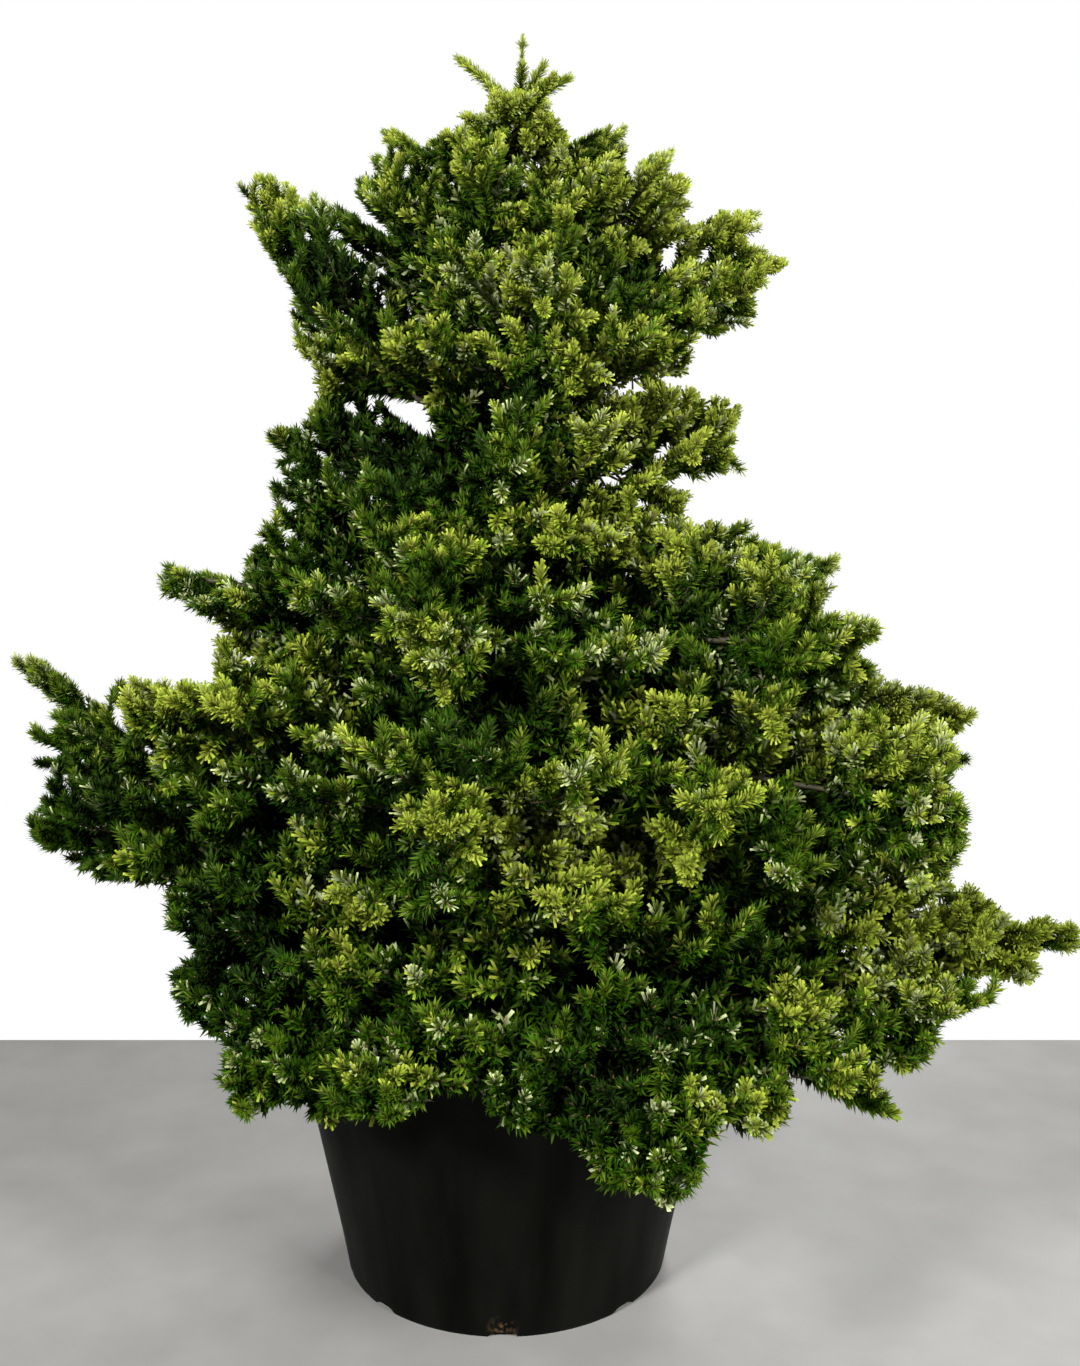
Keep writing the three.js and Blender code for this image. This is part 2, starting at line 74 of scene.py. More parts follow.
LIMB_TIP = 0.42  # tip radius as a share of the foot radius
LIMB_SWING = 0.09  # a bough swings to one side by up to half this share of its reach
LINE_STEPS = 8  # of the line of points that stands for a mass's centre line

TWIG_ANGLE = 50  # degrees between a side twig and its stem
TWIG_RADIUS = 0.004
PLACE_CHANCE = 0.6  # how much of the way to the next a twig may move
TURN_CHANCE = 0.9  # and how far it may turn, in radians
SIDEWAYS = 0.3  # draws the twigs' turns towards the two sides
END_LENGTH = 0.3  # share of the mass that its end twig takes up
END_REACH = 0.985  # and where that twig ends
FIRST_TWIG = 0.06  # share of the mass where its twigs start
TWIGS_TAKE = 0.88  # and over which they spread
UNEVEN_REACH = 0.3  # how much shorter a twig may be than the edge of its form
GOLDEN_TURN = math.pi * (3 - math.sqrt(5))
FULL_TURN = 6.283  # for headings and waves by chance

STEM_FOOT = 0.7  # a stem's radius where it starts at the trunk, as a share of wood
STEM_TIP = 0.5  # its tip radius as a share of its foot radius
STEM_START = 0.01  # share of the bough's reach where it starts, inside the trunk
STEM_END = 0.94  # and where it ends
STEM_LEAST = 0.3  # of that length it keeps where it is cut back from the sky
CLEAR_OF_LIMB = 0.04  # share of a mass on a limb that has no twigs

SPACE_BETWEEN = 0.007  # how much nearer a mass's own centre line has to be
WOOD_CLEAR = 0.005  # between a twig and the trunk or a limb
POT_CLEAR = 0.012  # between a twig and the pot or the soil
WIDTH_SHAPE = (0.5, 1.7, 0.42)  # see bulge
DEPTH_SHAPE = (0.6, 1.4, 0.28)
SHARE_STEP = 0.06  # by which a mass is drawn in to fit its space
LEAST_SHARE = 0.15
FORM_MARGIN = 0.005  # added to the half width and half height of a mass

# Each tier is a whorl of boughs, which leave the trunk within its rise. A bough is
# [azimuth, reach, tip height]: degrees round from +X towards +Y, then metres from the trunk's
# centre line and above the pot's underside. limb is the share of a bough that is bare wood.
# arch lifts the middle of the bough, and a fourth number of a bough is its own arch. spread and
# depth are the widest half width and half height of its mass, twigs is how many leave its stem,
# fill is the share of its form that the fine growth keeps to, and under is how deep its lower half
# is, as a share of its upper half.
TIERS = [
    dict(  # top
        foot=1.450, rise=0.050, limb=0, arch=-0.006, spread=0.165, depth=0.066,
        wood=0.004, twigs=14, fill=0.95, under=1.00,
        boughs=[(14, 0.172, 1.505), (146, 0.189, 1.512), (262, 0.165, 1.490)],
    ),
    dict(  # upper
        foot=1.320, rise=0.060, limb=0, arch=-0.025, spread=0.220, depth=0.125,
        wood=0.005, twigs=20, fill=1.12, under=1.00,
        boughs=[(350, 0.246, 1.462), (70, 0.240, 1.430), (172, 0.216, 1.446), (262, 0.230, 1.400)],
    ),
    dict(  # high
        foot=1.175, rise=0.070, limb=0, arch=-0.008, spread=0.300, depth=0.145,
        wood=0.007, twigs=28, fill=1.15, under=1.00,
        boughs=[
            (6, 0.378, 1.352, 0.020), (96, 0.335, 1.300), (187, 0.350, 1.445, -0.105),
            (278, 0.310, 1.270),
        ],
    ),
    dict(  # waist
        foot=1.025, rise=0.080, limb=0, arch=-0.010, spread=0.300, depth=0.135,
        wood=0.008, twigs=26, fill=1.15, under=1.00,
        boughs=[
            (352, 0.322, 1.095), (85, 0.330, 1.090), (180, 0.320, 1.120, -0.030),
            (268, 0.310, 1.060),
        ],
    ),
    dict(  # shoulder
        foot=0.870, rise=0.080, limb=0, arch=0, spread=0.350, depth=0.130,
        wood=0.009, twigs=32, fill=1.18, under=1.00,
        boughs=[
            (10, 0.470, 0.945), (98, 0.470, 0.930), (187, 0.455, 0.938, 0.015),
            (255, 0.430, 0.900), (326, 0.515, 0.872),
        ],
    ),
    dict(  # middle
        foot=0.700, rise=0.100, limb=0.25, arch=0.010, spread=0.370, depth=0.130,
        wood=0.011, twigs=30, fill=1.22, under=1.00,
        boughs=[
            (3, 0.655, 0.738), (55, 0.620, 0.740), (112, 0.610, 0.740), (172, 0.700, 0.835, -0.150),
            (209, 0.500, 0.770), (262, 0.510, 0.700), (320, 0.625, 0.695),
        ],
    ),
    dict(  # low
        foot=0.530, rise=0.120, limb=0.27, arch=0.040, spread=0.380, depth=0.140,
        wood=0.012, twigs=28, fill=1.15, under=0.85,
        boughs=[
            (351, 0.735, 0.468, -0.010), (334, 0.625, 0.345, 0.060), (316, 0.565, 0.312, 0.050),
            (291, 0.555, 0.320), (259, 0.480, 0.340), (228, 0.470, 0.345),
            (209, 0.470, 0.425, 0.080), (187, 0.640, 0.608, 0.010), (137, 0.660, 0.480),
            (88, 0.650, 0.470), (38, 0.690, 0.480),
        ],
    ),
]

# The leader is the trunk's last upright shoot, with a whorl of (azimuth, reach, tip height) shoots.
LEADER_HEIGHT = 1.622
LEADER_SHOOTS = [(182, 0.082, 1.597), (8, 0.069, 1.577), (95, 0.066, 1.575), (275, 0.060, 1.570)]
LEADER_SPRIGS = [(325, 0.042, 1.584), (192, 0.045, 1.561), (60, 0.046, 1.566), (140, 0.046, 1.562)]

# ---------------------------------------------------------------- sizes of the fine growth

TWIG_BASE_RADIUS = 0.0022
TWIG_END_RADIUS = 0.0011
TWIG_STEPS = 4  # of the tube that stands for a twig
SAG = 0.06  # how far a twig hangs in its middle, as a share of its length
SHOOT_SPACING = 0.0175  # between the side shoots of a twig
OUTWARD = 0.34  # how much a shoot turns away from the trunk
UPWARD = 0.20  # and up, towards the light
MOST_SHOOTS = 13  # side shoots on one twig
SHOOT_LENGTH = 0.056  # near the foot of a twig, and less towards its tip
END_SHOOT = 0.045  # the last stretch of a twig, which bears needles like a shoot
LONG_END = 0.110  # and that of a long twig at the crown's outline
SHOOT_RADIUS = 0.0013
SHORTEST_SHOOT = 0.018
FIRST_SHOOT = 0.22  # share of a twig before its first side shoot
LAST_SHOOT = 0.97  # and where its last one may stand
SHOOT_ANGLE, ANGLE_CHANCE = 38, 22  # degrees between a shoot and its twig, and how many more
SHOOTS_BELOW = 0.22  # of the third shoots, the share that grows below and not above
STEEPNESS = 1.35  # radians up or down from level for those
SIDE_RISE, RISE_CHANCE = -0.15, 0.95  # and for the side shoots, up, with how much more by chance
LENGTH_FOOT, LENGTH_LOST = 1.12, 0.55  # of a shoot at the foot of its twig, and less at its tip
SMALL_SPACING = 0.020  # between the small shoots of a side shoot
MOST_SMALL = 2  # of them on one side shoot
FIRST_SMALL = 0.30  # share of a side shoot before the first
SMALL_LENGTH = 0.038
FILL_CELL = 14  # of the frame, in columns, in which the shoots are counted
FILL_BELOW = 1.5  # shoots in a cell, below which it is filled
FILL_APART = 24  # between two of the filling twigs, in columns
STEMS_TRIED = 90  # places on the stems from which such a twig may grow
STEM_PLACES = 30  # on each stem, of which the nearest are tried
SPRAY_BACK = 0.12  # share of its mass by which a long twig starts further back
SPRAY_SLANT = 0.8  # and how much more for its length
LONGEST_SPRAY = 0.20  # of a long twig at the outline
LONGEST_FILLING = 0.26  # and of a filling twig
CORNER_COSINE = -0.55  # a corner of the outline is sharp above this
LEADER_ROW = 110  # of the frame, above which only the leader shows
DRAWN_IN = 1.3  # how far inside the outline these twigs end, in sky edges
CELL_DEPTH = 1.8  # a distance from the eye, for places that are only compared

# Each twig and shoot has a label, from which its chances follow.
END_LABEL = 100  # of the twig that ends a stem
INNER_FROM = 200  # the labels of the old twigs near the trunk start here
BOUND_BELOW = 400  # below it, a twig's side shoots keep within its mass's form
SPRAYS_FROM = 800  # the labels of the long twigs at the outline start here
FILLING_FROM = 1000  # and those of the filling twigs here
STEM_SHOOTS_FROM = 3000
TWIG_ENDS_FROM = 5000
LEADER_FROM = 9000.0
SHOOTS_EACH = 16  # labels kept for the side shoots of one twig

SHOOT_SHARES = np.array([1, 0.78, 0.58, 0.42])  # of a side shoot's length, tried one after another
PAST_TIP = 0.012  # how far past the end of its mass's line a side shoot may reach
STEM_SPACING = 0.012  # between the shoots that grow on the stem itself
LIMB_TWIGS = 26  # old twigs on the bare part of a bough
LIMB_TWIGS_FROM, LIMB_TWIGS_TAKE = 0.25, 1.75  # where they stand, in lengths of the bare limb
TRUNK_TWIGS_FROM = 0.43  # height of the lowest old twig on the trunk
TRUNK_TWIGS_END = 0.08  # and how far below the trunk's top the highest stands
TRUNK_TWIG_SPACING = 0.011
INNER_LENGTH = 0.20  # of an old twig near the trunk
INNER_SHARES = np.array([1, 0.8, 0.6])  # of that length, tried one after another for a fit
TWIG_SHARES = np.array([1, 0.86, 0.72, 0.58, 0.44])  # of a twig that is cut back from the sky
LEADER_END = 0.003  # how far below its full height the leader's wood ends
KNOB_FOOT, KNOB_TIP = 0.016, 0.008  # of the knob of needles, below the same height
LEADER_SHOOT_END = 0.008  # how far short of their full reach the leader's shoots end

NEEDLE_LENGTH = 0.0125
NEEDLE_FOOT = 0.0014  # width at the foot
NEEDLE_TIP = 0.0017  # and at the blunt tip
NEEDLES_IN_LIGHT = 2600  # for each metre of a shoot at the edge of the crown
NEEDLES_IN_SHADE = 310  # and of one inside it, where they are broader
SHADE_BREADTH = 2.7  # breadth of a needle in full shade, as a share of one in light
NEEDLES_ON_TWIG = 220
NEEDLES_ON_SPRAY = 2000  # and of a long twig at the crown's outline
NEEDLE_CROWDING = 0.75  # below 1, needles stand thicker towards a shoot's tip
NEEDLE_LEAN = 64  # degrees between a needle and the foot of its shoot
LEAN_LOST = 40  # how much less that is at the shoot's tip
LEAN_CHANCE = 26  # and how much it varies
NEEDLE_LIFT = 0.16  # how much a needle turns up
FEWEST_NEEDLES = 6  # on a twig or shoot
BUD_LENGTH = 0.006
BUD_RADIUS = 0.0017

UP = np.array([0.0, 0.0, 1.0])


def chance(mass, twig, use):
    """From 0 to 1, by mass, twig and use alone: what is left of a large multiple of a sine."""
    wave = np.sin(np.asarray(mass) * 127.1 + np.asarray(twig) * 311.7 + use * 74.7) * 43758.5453
    return wave - np.floor(wave)


def unit(vectors):
    """Each vector divided by its own length."""
    return vectors / np.maximum(np.linalg.norm(vectors, axis=-1, keepdims=True), 1e-9)


def turns(count):
    """Angles evenly spread round a full turn."""
    return np.arange(count) * 2 * np.pi / count


def counted(sizes):
    """For groups of given sizes: the group of each member, and the member's number in it."""
    group = np.repeat(np.arange(len(sizes)), sizes)
    return group, np.arange(len(group)) - np.repeat(np.cumsum(sizes) - sizes, sizes)


def square_to(along, reference):
    """Two headings square to each heading: one aside, square to the reference too, and one over."""
    aside = unit(np.cross(along, reference))
    return aside, np.cross(aside, along)


# ---------------------------------------------------------------- trunk and boughs as lines

def trunk_centre(height):
    """The trunk's centre line by height: a straight lean plus one turn of a sine each way."""
    height = np.asarray(height, float)
    s = (height - SOIL_TOP) / (LEADER_HEIGHT - SOIL_TOP)
    sway = TRUNK_SWAY * np.sin(2 * np.pi * s)
    return np.stack([TRUNK_LEAN * s + sway, -sway, height], -1)


def trunk_radius(height):
    """The trunk's radius by height: a power curve from foot to tip, plus a flare that dies away."""
    s = np.clip((height - SOIL_TOP) / (TRUNK_TOP - SOIL_TOP), 0, 1)
    flare = FLARE * np.exp(-(height - SOIL_TOP - SOIL_CROWN) / FLARE_HEIGHT)
    return TRUNK_TIP_RADIUS + (TRUNK_RADIUS - TRUNK_TIP_RADIUS) * (1 - s) ** TRUNK_CURVE + flare


def boughs_of(tiers):
    """The boughs as one table: a name for each value, and a row for each bough."""
    rows = []
    for tier in tiers:
        count = len(tier["boughs"])
        for index, (azimuth, reach, tip_height, *own) in enumerate(tier["boughs"]):
            order = len(rows) + 1
            turn = math.radians(azimuth)
            rung = (3 * index + count - 1) % count
            foot = trunk_centre(tier["foot"] + tier["rise"] * (rung / (count - 1) - 0.5))
            near = (trunk_radius(foot[2]) + WOOD_CLEAR + 3 * TWIG_RADIUS) / reach
            rows.append(dict(
                order=order, foot=foot, reach=reach, start=tier["limb"], wood=tier["wood"],
                out=np.array([math.cos(turn), math.sin(turn), 0]),
                side=np.array([-math.sin(turn), math.cos(turn), 0]),
                rise=tip_height - foot[2], arch=own[0] if own else tier["arch"],
                swing=(chance(order, 0, 1) - 0.5) * LIMB_SWING * reach,
                clear=CLEAR_OF_LIMB if tier["limb"] else near,
                spread=tier["spread"], depth=tier["depth"], twigs=tier["twigs"],
                fill=tier["fill"], under=tier["under"],
            ))
    return {key: np.array([row[key] for row in rows]) for key in rows[0]}


BOUGHS = boughs_of(TIERS)
MASSES = np.arange(len(BOUGHS["order"]))
LIMBED = MASSES[BOUGHS["start"] > 0]


def bough_path(mass, t):
    """A bough's centre line at share t of its reach: straight out and up, lifted by a parabola
    and swung to one side by half a sine wave."""
    b = {key: BOUGHS[key][mass] for key in ("foot", "out", "side", "reach", "rise", "arch", "swing")}
    t = np.asarray(t, float)
    level = b["out"] * (b["reach"] * t)[..., None]
    aside = b["side"] * (b["swing"] * np.sin(np.pi * t))[..., None]
    lift = b["rise"] * t + b["arch"] * 4 * t * (1 - t)
    return b["foot"] + level + aside + UP * lift[..., None]


def path_in_mass(mass, s):
    """The centre line of a mass at share s of its own length."""
    start = BOUGHS["start"][mass]
    return bough_path(mass, start + (1 - start) * s)


def lines_of(masses, low, high, steps):
    """Each bough's centre line as steps + 1 points, from share low to share high of its reach."""
    shares = np.linspace(0, 1, steps + 1)
    t = low[:, None] + (high - low)[:, None] * shares
    return bough_path(masses[:, None] + np.zeros_like(t, int), t)


ONES = np.ones(len(MASSES))
MASS_LINES = lines_of(MASSES, BOUGHS["start"], ONES, LINE_STEPS)
LIMB_LINES = lines_of(LIMBED, 0 * ONES[LIMBED], BOUGHS["start"][LIMBED], 4)

# ---------------------------------------------------------------- the space of each mass


def distances(points, lines):
    """Distance from each point to each line: the least over the line's straight stretches."""
    best = np.full((len(points), len(lines)), np.inf)
    for low, high in zip(lines[:, :-1].transpose(1, 0, 2), lines[:, 1:].transpose(1, 0, 2)):
        run = high - low
        away = points[:, None] - low
        t = np.clip((away * run).sum(-1) / (run * run).sum(-1), 0, 1)
        best = np.minimum(best, np.linalg.norm(away - t[..., None] * run, axis=-1))
    return best


def is_free(points, mass):
    """Whether each point is clear of pot, trunk and limbs, and nearer to its own mass's centre
    line than to any other."""
    shape = points.shape[:-1]
    points = points.reshape(-1, 3)
    mass = np.broadcast_to(mass, shape).ravel()
    outward = np.hypot(points[:, 0], points[:, 1])
    floor = np.where(outward > RIM_RADIUS + POT_CLEAR, 0, POT_HEIGHT + POT_CLEAR)
    free = points[:, 2] >= floor
    centre = trunk_centre(points[:, 2])
    aside = np.hypot(points[:, 0] - centre[:, 0], points[:, 1] - centre[:, 1])
    free &= (points[:, 2] >= TRUNK_TOP) | (aside >= trunk_radius(points[:, 2]) + WOOD_CLEAR)
    far = distances(points, MASS_LINES)
    own = np.take_along_axis(far, mass[:, None], 1)[:, 0]
    np.put_along_axis(far, mass[:, None], np.inf, 1)
    free &= far.min(1) >= own + SPACE_BETWEEN
    near = distances(points, LIMB_LINES) > BOUGHS["wood"][LIMBED] + WOOD_CLEAR
    return (free & near.all(1)).reshape(shape)


def bulge(shape, s):
    """How wide or deep a mass is at share s of its length: a straight rise from its foot, closed
    in a curve towards its end."""
    foot, growth, end = shape
    return np.minimum(1, foot + growth * s) * np.maximum(1 - s, 0) ** end


def mass_point(mass, s, turn, share):
    """A point of a mass: share s out along it, turned round its centre line, and some share of the
    way from there to the edge of its round form."""
    across = share * np.cos(turn) * BOUGHS["spread"][mass] * bulge(WIDTH_SHAPE, s)
    lift = share * np.sin(turn) * BOUGHS["depth"][mass] * bulge(DEPTH_SHAPE, s)
    return path_in_mass(mass, s) + BOUGHS["side"][mass] * across[..., None] + UP * lift[..., None]


def free_share(mass, s, turn):
    """The largest share of the way to the edge of its form that a mass can grow at a place."""
    shares = np.arange(1, LEAST_SHARE, -SHARE_STEP)
    tried = mass_point(mass[:, None], s[:, None], turn[:, None], shares[None, :])
    free = is_free(tried, mass[:, None])
    return np.where(free.any(1), shares[free.argmax(1)], LEAST_SHARE)


def form_share(points, mass):
    """How far out a point lies in its mass's round form, 1 at its edge or just past it, and its
    share of the way along the mass."""
    away = points - BOUGHS["foot"][mass]
    t = (away * BOUGHS["out"][mass]).sum(-1) / BOUGHS["reach"][mass]
    s = np.clip((t - BOUGHS["start"][mass]) / (1 - BOUGHS["start"][mass]), 0, 1)
    rest = points - path_in_mass(mass, s)
    across = (rest * BOUGHS["side"][mass]).sum(-1)
    past = np.maximum(t - 1, 0) * BOUGHS["reach"][mass]
    fill = BOUGHS["fill"][mass]
    wide = fill * BOUGHS["spread"][mass] * bulge(WIDTH_SHAPE, s) + FORM_MARGIN
    deep = fill * BOUGHS["depth"][mass] * bulge(DEPTH_SHAPE, s) + FORM_MARGIN
    deep = np.where(rest[:, 2] < 0, deep * BOUGHS["under"][mass], deep)
    return np.sqrt((across / wide) ** 2 + (rest[:, 2] / deep) ** 2 + (past / PAST_TIP) ** 2), s


# The view from the front: where the eye stands, how far it looks down, and its frame, whose
# columns and rows name the places in the lists below.
EYE = np.array([0.046, -1.798, 0.978])
EYE_DROP = math.radians(5.89)
FRAME_WIDE, FRAME_HIGH = 1080, 1366
LENS, SENSOR = 35.58, 36
ZOOM = FRAME_HIGH * LENS / SENSOR  # columns for a metre at a distance of one metre

# The crown's outline against the sky in that frame, clockwise from the tip of the leader.
OUTLINE = [
    (523, 34), (531, 36), (524, 92), (553, 64), (574, 76), (548, 92), (562, 122), (572, 140),
    (584, 128), (634, 118), (628, 166), (646, 152), (696, 142), (668, 170), (694, 178), (694, 198),
    (686, 220), (704, 220), (716, 208), (762, 208), (778, 224), (748, 240), (796, 260), (756, 298),
    (782, 318), (748, 340), (692, 346), (714, 378), (700, 392), (742, 404), (748, 440), (728, 448),
    (752, 468), (742, 480), (680, 487), (718, 490), (706, 512), (728, 524), (742, 512), (764, 540),
    (842, 552), (836, 592), (822, 612), (868, 616), (894, 628), (862, 656), (906, 686), (920, 684),
    (990, 714), (956, 744), (978, 760), (954, 778), (966, 806), (974, 852), (958, 872), (984, 892),
    (1016, 922), (1056, 912), (1090, 926), (1090, 954), (1036, 960), (1050, 980), (1004, 990),
    (1018, 1038), (966, 1016), (944, 1024), (938, 1050), (916, 1078), (884, 1068), (914, 1148),
    (886, 1150), (866, 1112), (786, 1060), (802, 1114), (760, 1148), (736, 1128), (706, 1152),
    (706, 1178), (690, 1200), (652, 1222), (608, 1210), (588, 1174), (546, 1140), (500, 1128),
    (480, 1094), (422, 1096), (416, 1120), (376, 1134), (310, 1126), (290, 1108), (238, 1124),
    (214, 1080), (222, 1050), (182, 1020), (166, 974), (194, 950), (148, 916), (160, 892), (98, 882),
    (56, 866), (16, 826), (40, 804), (28, 746), (26, 722), (50, 706), (8, 672), (10, 636), (38, 658),
    (50, 638), (62, 670), (106, 704), (106, 674), (216, 684), (210, 668), (214, 628), (162, 600),
    (150, 568), (166, 558), (238, 578), (246, 544), (266, 518), (270, 470), (260, 428), (300, 420),
    (314, 404), (308, 364), (282, 348), (288, 290), (250, 240), (244, 206), (222, 164), (246, 182),
    (256, 168), (284, 176), (306, 186), (358, 208), (342, 172), (372, 174), (362, 146), (384, 152),
    (370, 118), (402, 128), (422, 142), (460, 120), (452, 104), (482, 112), (488, 84), (456, 58),
    (510, 92),
]
# Gaps inside it where the sky shows: column, row, half width and half height.
WINDOWS = [
    (412, 412, 17, 10), (424, 426, 9, 9), (392, 402, 8, 6), (368, 220, 9, 5), (384, 236, 8, 5),
    (530, 120, 7, 4),
    (524, 167, 4, 4), (667, 265, 7, 6), (702, 251, 4, 7), (640, 281, 5, 4), (660, 372, 9, 9),
    (686, 385, 22, 5), (630, 391, 18, 4), (664, 452, 12, 5), (610, 481, 13, 8), (626, 471, 12, 6),
    (570, 484, 11, 5), (694, 487, 38, 5), (700, 518, 16, 6), (120, 727, 8, 11), (153, 748, 7, 9),
    (90, 820, 14, 7),
]
SKY_EDGE = 6  # a shoot's tip stays this far inside, in columns
MIDDLE_EDGE = 4  # and its middle this far


def in_frame(points):
    """The column and row of the frame in which points are seen, and how far ahead they are."""
    away = points - EYE
    ahead = away[..., 1] * math.cos(EYE_DROP) - away[..., 2] * math.sin(EYE_DROP)
    up = away[..., 2] * math.cos(EYE_DROP) + away[..., 1] * math.sin(EYE_DROP)
    scale = ZOOM / ahead
    return FRAME_WIDE / 2 + away[..., 0] * scale, FRAME_HIGH / 2 - up * scale, ahead


def from_frame(column, row, ahead):
    """The points seen in a column and row of the frame at a distance ahead."""
    scale = ahead / ZOOM
    up = (FRAME_HIGH / 2 - row) * scale
    back = ahead * math.cos(EYE_DROP) + up * math.sin(EYE_DROP)
    rise = up * math.cos(EYE_DROP) - ahead * math.sin(EYE_DROP)
    return EYE + np.stack([(column - FRAME_WIDE / 2) * scale, back, rise], -1)


def against_sky(points, edge):
    """Whether points are seen outside the crown's outline, in one of its gaps, or nearer to
    either than the edge. A point is inside where a level line from it crosses the outline an odd
    number of times."""
    column, row, _ = in_frame(points)
    shape, place = column.shape, np.stack([column.ravel(), row.ravel()], -1)
    low = np.array(OUTLINE, float)
    high = np.roll(low, -1, 0)
    inside = np.zeros(len(place), bool)
    nearest = np.full(len(place), np.inf)
    for start, end in zip(low, high):
        run = end - start
        t = np.clip(((place - start) * run).sum(-1) / (run * run).sum(), 0, 1)
        nearest = np.minimum(nearest, np.linalg.norm(place - start - t[:, None] * run, axis=-1))
        spans = (start[1] > place[:, 1]) != (end[1] > place[:, 1])
        slope = run[0] / (run[1] if run[1] else 1)
        inside ^= spans & (place[:, 0] < start[0] + (place[:, 1] - start[1]) * slope)
    sky = ~inside | (nearest < edge)
    for x, y, half_width, half_height in WINDOWS:
        wide, high_enough = half_width + edge / 2, half_height + edge / 2
        sky |= np.hypot((place[:, 0] - x) / wide, (place[:, 1] - y) / high_enough) < 1
    return sky.reshape(shape)


# ---------------------------------------------------------------- twigs and shoots

def short_of_sky(foot, tip):
    """Twigs cut back, step by step, until neither their tips nor their middles are seen against
    the sky. Returns the tips and which twigs can be kept."""
    ends = foot[:, None] + (tip - foot)[:, None] * TWIG_SHARES[:, None]
    seen = against_sky(ends, SKY_EDGE) | against_sky((foot[:, None] + ends) / 2, MIDDLE_EDGE)
    return ends[np.arange(len(ends)), (~seen).argmax(1)], ~seen.all(1)


def twigs_of_masses():
    """Every twig of every mass, by the rule of the solids: one after another along and round its
    stem by the golden angle, with its tip at the edge of the mass's free space and its foot where
    the twig angle carries it back to the stem. The last of each mass ends its stem."""
    mass, number = counted(BOUGHS["twigs"])
    order = BOUGHS["order"][mass]
    moved = number + PLACE_CHANCE * chance(order, number, 2)
    s = FIRST_TWIG + TWIGS_TAKE * moved / BOUGHS["twigs"][mass]
    around = number * GOLDEN_TURN + TURN_CHANCE * chance(order, number, 3)
    turn = around + SIDEWAYS * np.sin(2 * around)
    full = free_share(mass, s, turn) * BOUGHS["fill"][mass]
    share = full * (1 - UNEVEN_REACH * chance(order, number, 4) ** 2)
    share = np.where(np.sin(turn) < 0, share * BOUGHS["under"][mass], share)
    tip = mass_point(mass, s, turn, share)
    across = np.linalg.norm(tip - path_in_mass(mass, s), axis=-1)
    length = BOUGHS["reach"][mass] * (1 - BOUGHS["start"][mass])
    back = across / math.tan(math.radians(TWIG_ANGLE)) / length
    foot = path_in_mass(mass, np.maximum(BOUGHS["clear"][mass], s - back))
    end_foot = path_in_mass(MASSES, 1 - END_LENGTH * ONES)
    end_tip = path_in_mass(MASSES, END_REACH * ONES)
    mass, number = np.concatenate([mass, MASSES]), np.concatenate([number, END_LABEL + 0 * MASSES])
    foot, tip = np.concatenate([foot, end_foot]), np.concatenate([tip, end_tip])
    tip, clear = short_of_sky(foot, tip)
    keep = clear & (np.linalg.norm(tip - foot, axis=-1) > 2 * SHORTEST_SHOOT)
    return mass[keep], number[keep], foot[keep], tip[keep]


def clear_of_pot(points):
    """Whether points are above the pot's rim or well outside it."""
    outward = np.hypot(points[..., 0], points[..., 1])
    return (points[..., 2] > POT_HEIGHT + POT_CLEAR) | (outward > RIM_RADIUS + POT_CLEAR)


def twigs_towards(column, row, first, nearest_share, longest):
    """Long twigs that end where a column and row of the frame are seen. Each leaves a stem that is
    seen near its end, at that stem's own distance: the nearest from which it stays clear of the
    sky and the pot and isn't too long. first is the label of the first of them."""
    shares = np.linspace(nearest_share, 1, STEM_PLACES)
    mass, share = np.repeat(MASSES, len(shares)), np.tile(shares, len(MASSES))
    stem_column, stem_row, ahead = in_frame(path_in_mass(mass, share))
    away = np.hypot(stem_column - column[:, None], stem_row - row[:, None])
    near = away.argsort(1)[:, :STEMS_TRIED]
    owner, share = mass[near], share[near]
    tip = from_frame(column[:, None] + 0 * share, row[:, None] + 0 * share, ahead[near])
    across = np.linalg.norm(tip - path_in_mass(owner, share), axis=-1)
    length = BOUGHS["reach"][owner] * (1 - BOUGHS["start"][owner])
    back = share - SPRAY_BACK - SPRAY_SLANT * across / length
    foot = path_in_mass(owner, np.maximum(BOUGHS["clear"][owner], back))
    way = foot[..., None, :] + (tip - foot)[..., None, :] * np.array([0.25, 0.5, 0.75, 1])[:, None]
    fits = (across < longest) & clear_of_pot(way).all(-1)
    fits &= ~against_sky(way, MIDDLE_EDGE).any(-1)
    keep = fits.any(1)
    number = np.arange(len(near))[keep]
    pick = fits.argmax(1)[keep]
    return owner[number, pick], first + number, foot[number, pick], tip[number, pick]


def outline_sprays():
    """Long twigs that reach into the outward corners of the crown's outline."""
    corner = np.array(OUTLINE, float)
    before, after = unit(np.roll(corner, 1, 0) - corner), unit(np.roll(corner, -1, 0) - corner)
    outward = before[:, 0] * after[:, 1] - before[:, 1] * after[:, 0] > 0
    sharp = (before * after).sum(-1) > CORNER_COSINE
    inward = unit(before + after)
    corner = (corner + inward * SKY_EDGE * DRAWN_IN)[outward & sharp & (corner[:, 1] > LEADER_ROW)]
    return twigs_towards(corner[:, 0], corner[:, 1], SPRAYS_FROM, 0.5, LONGEST_SPRAY)


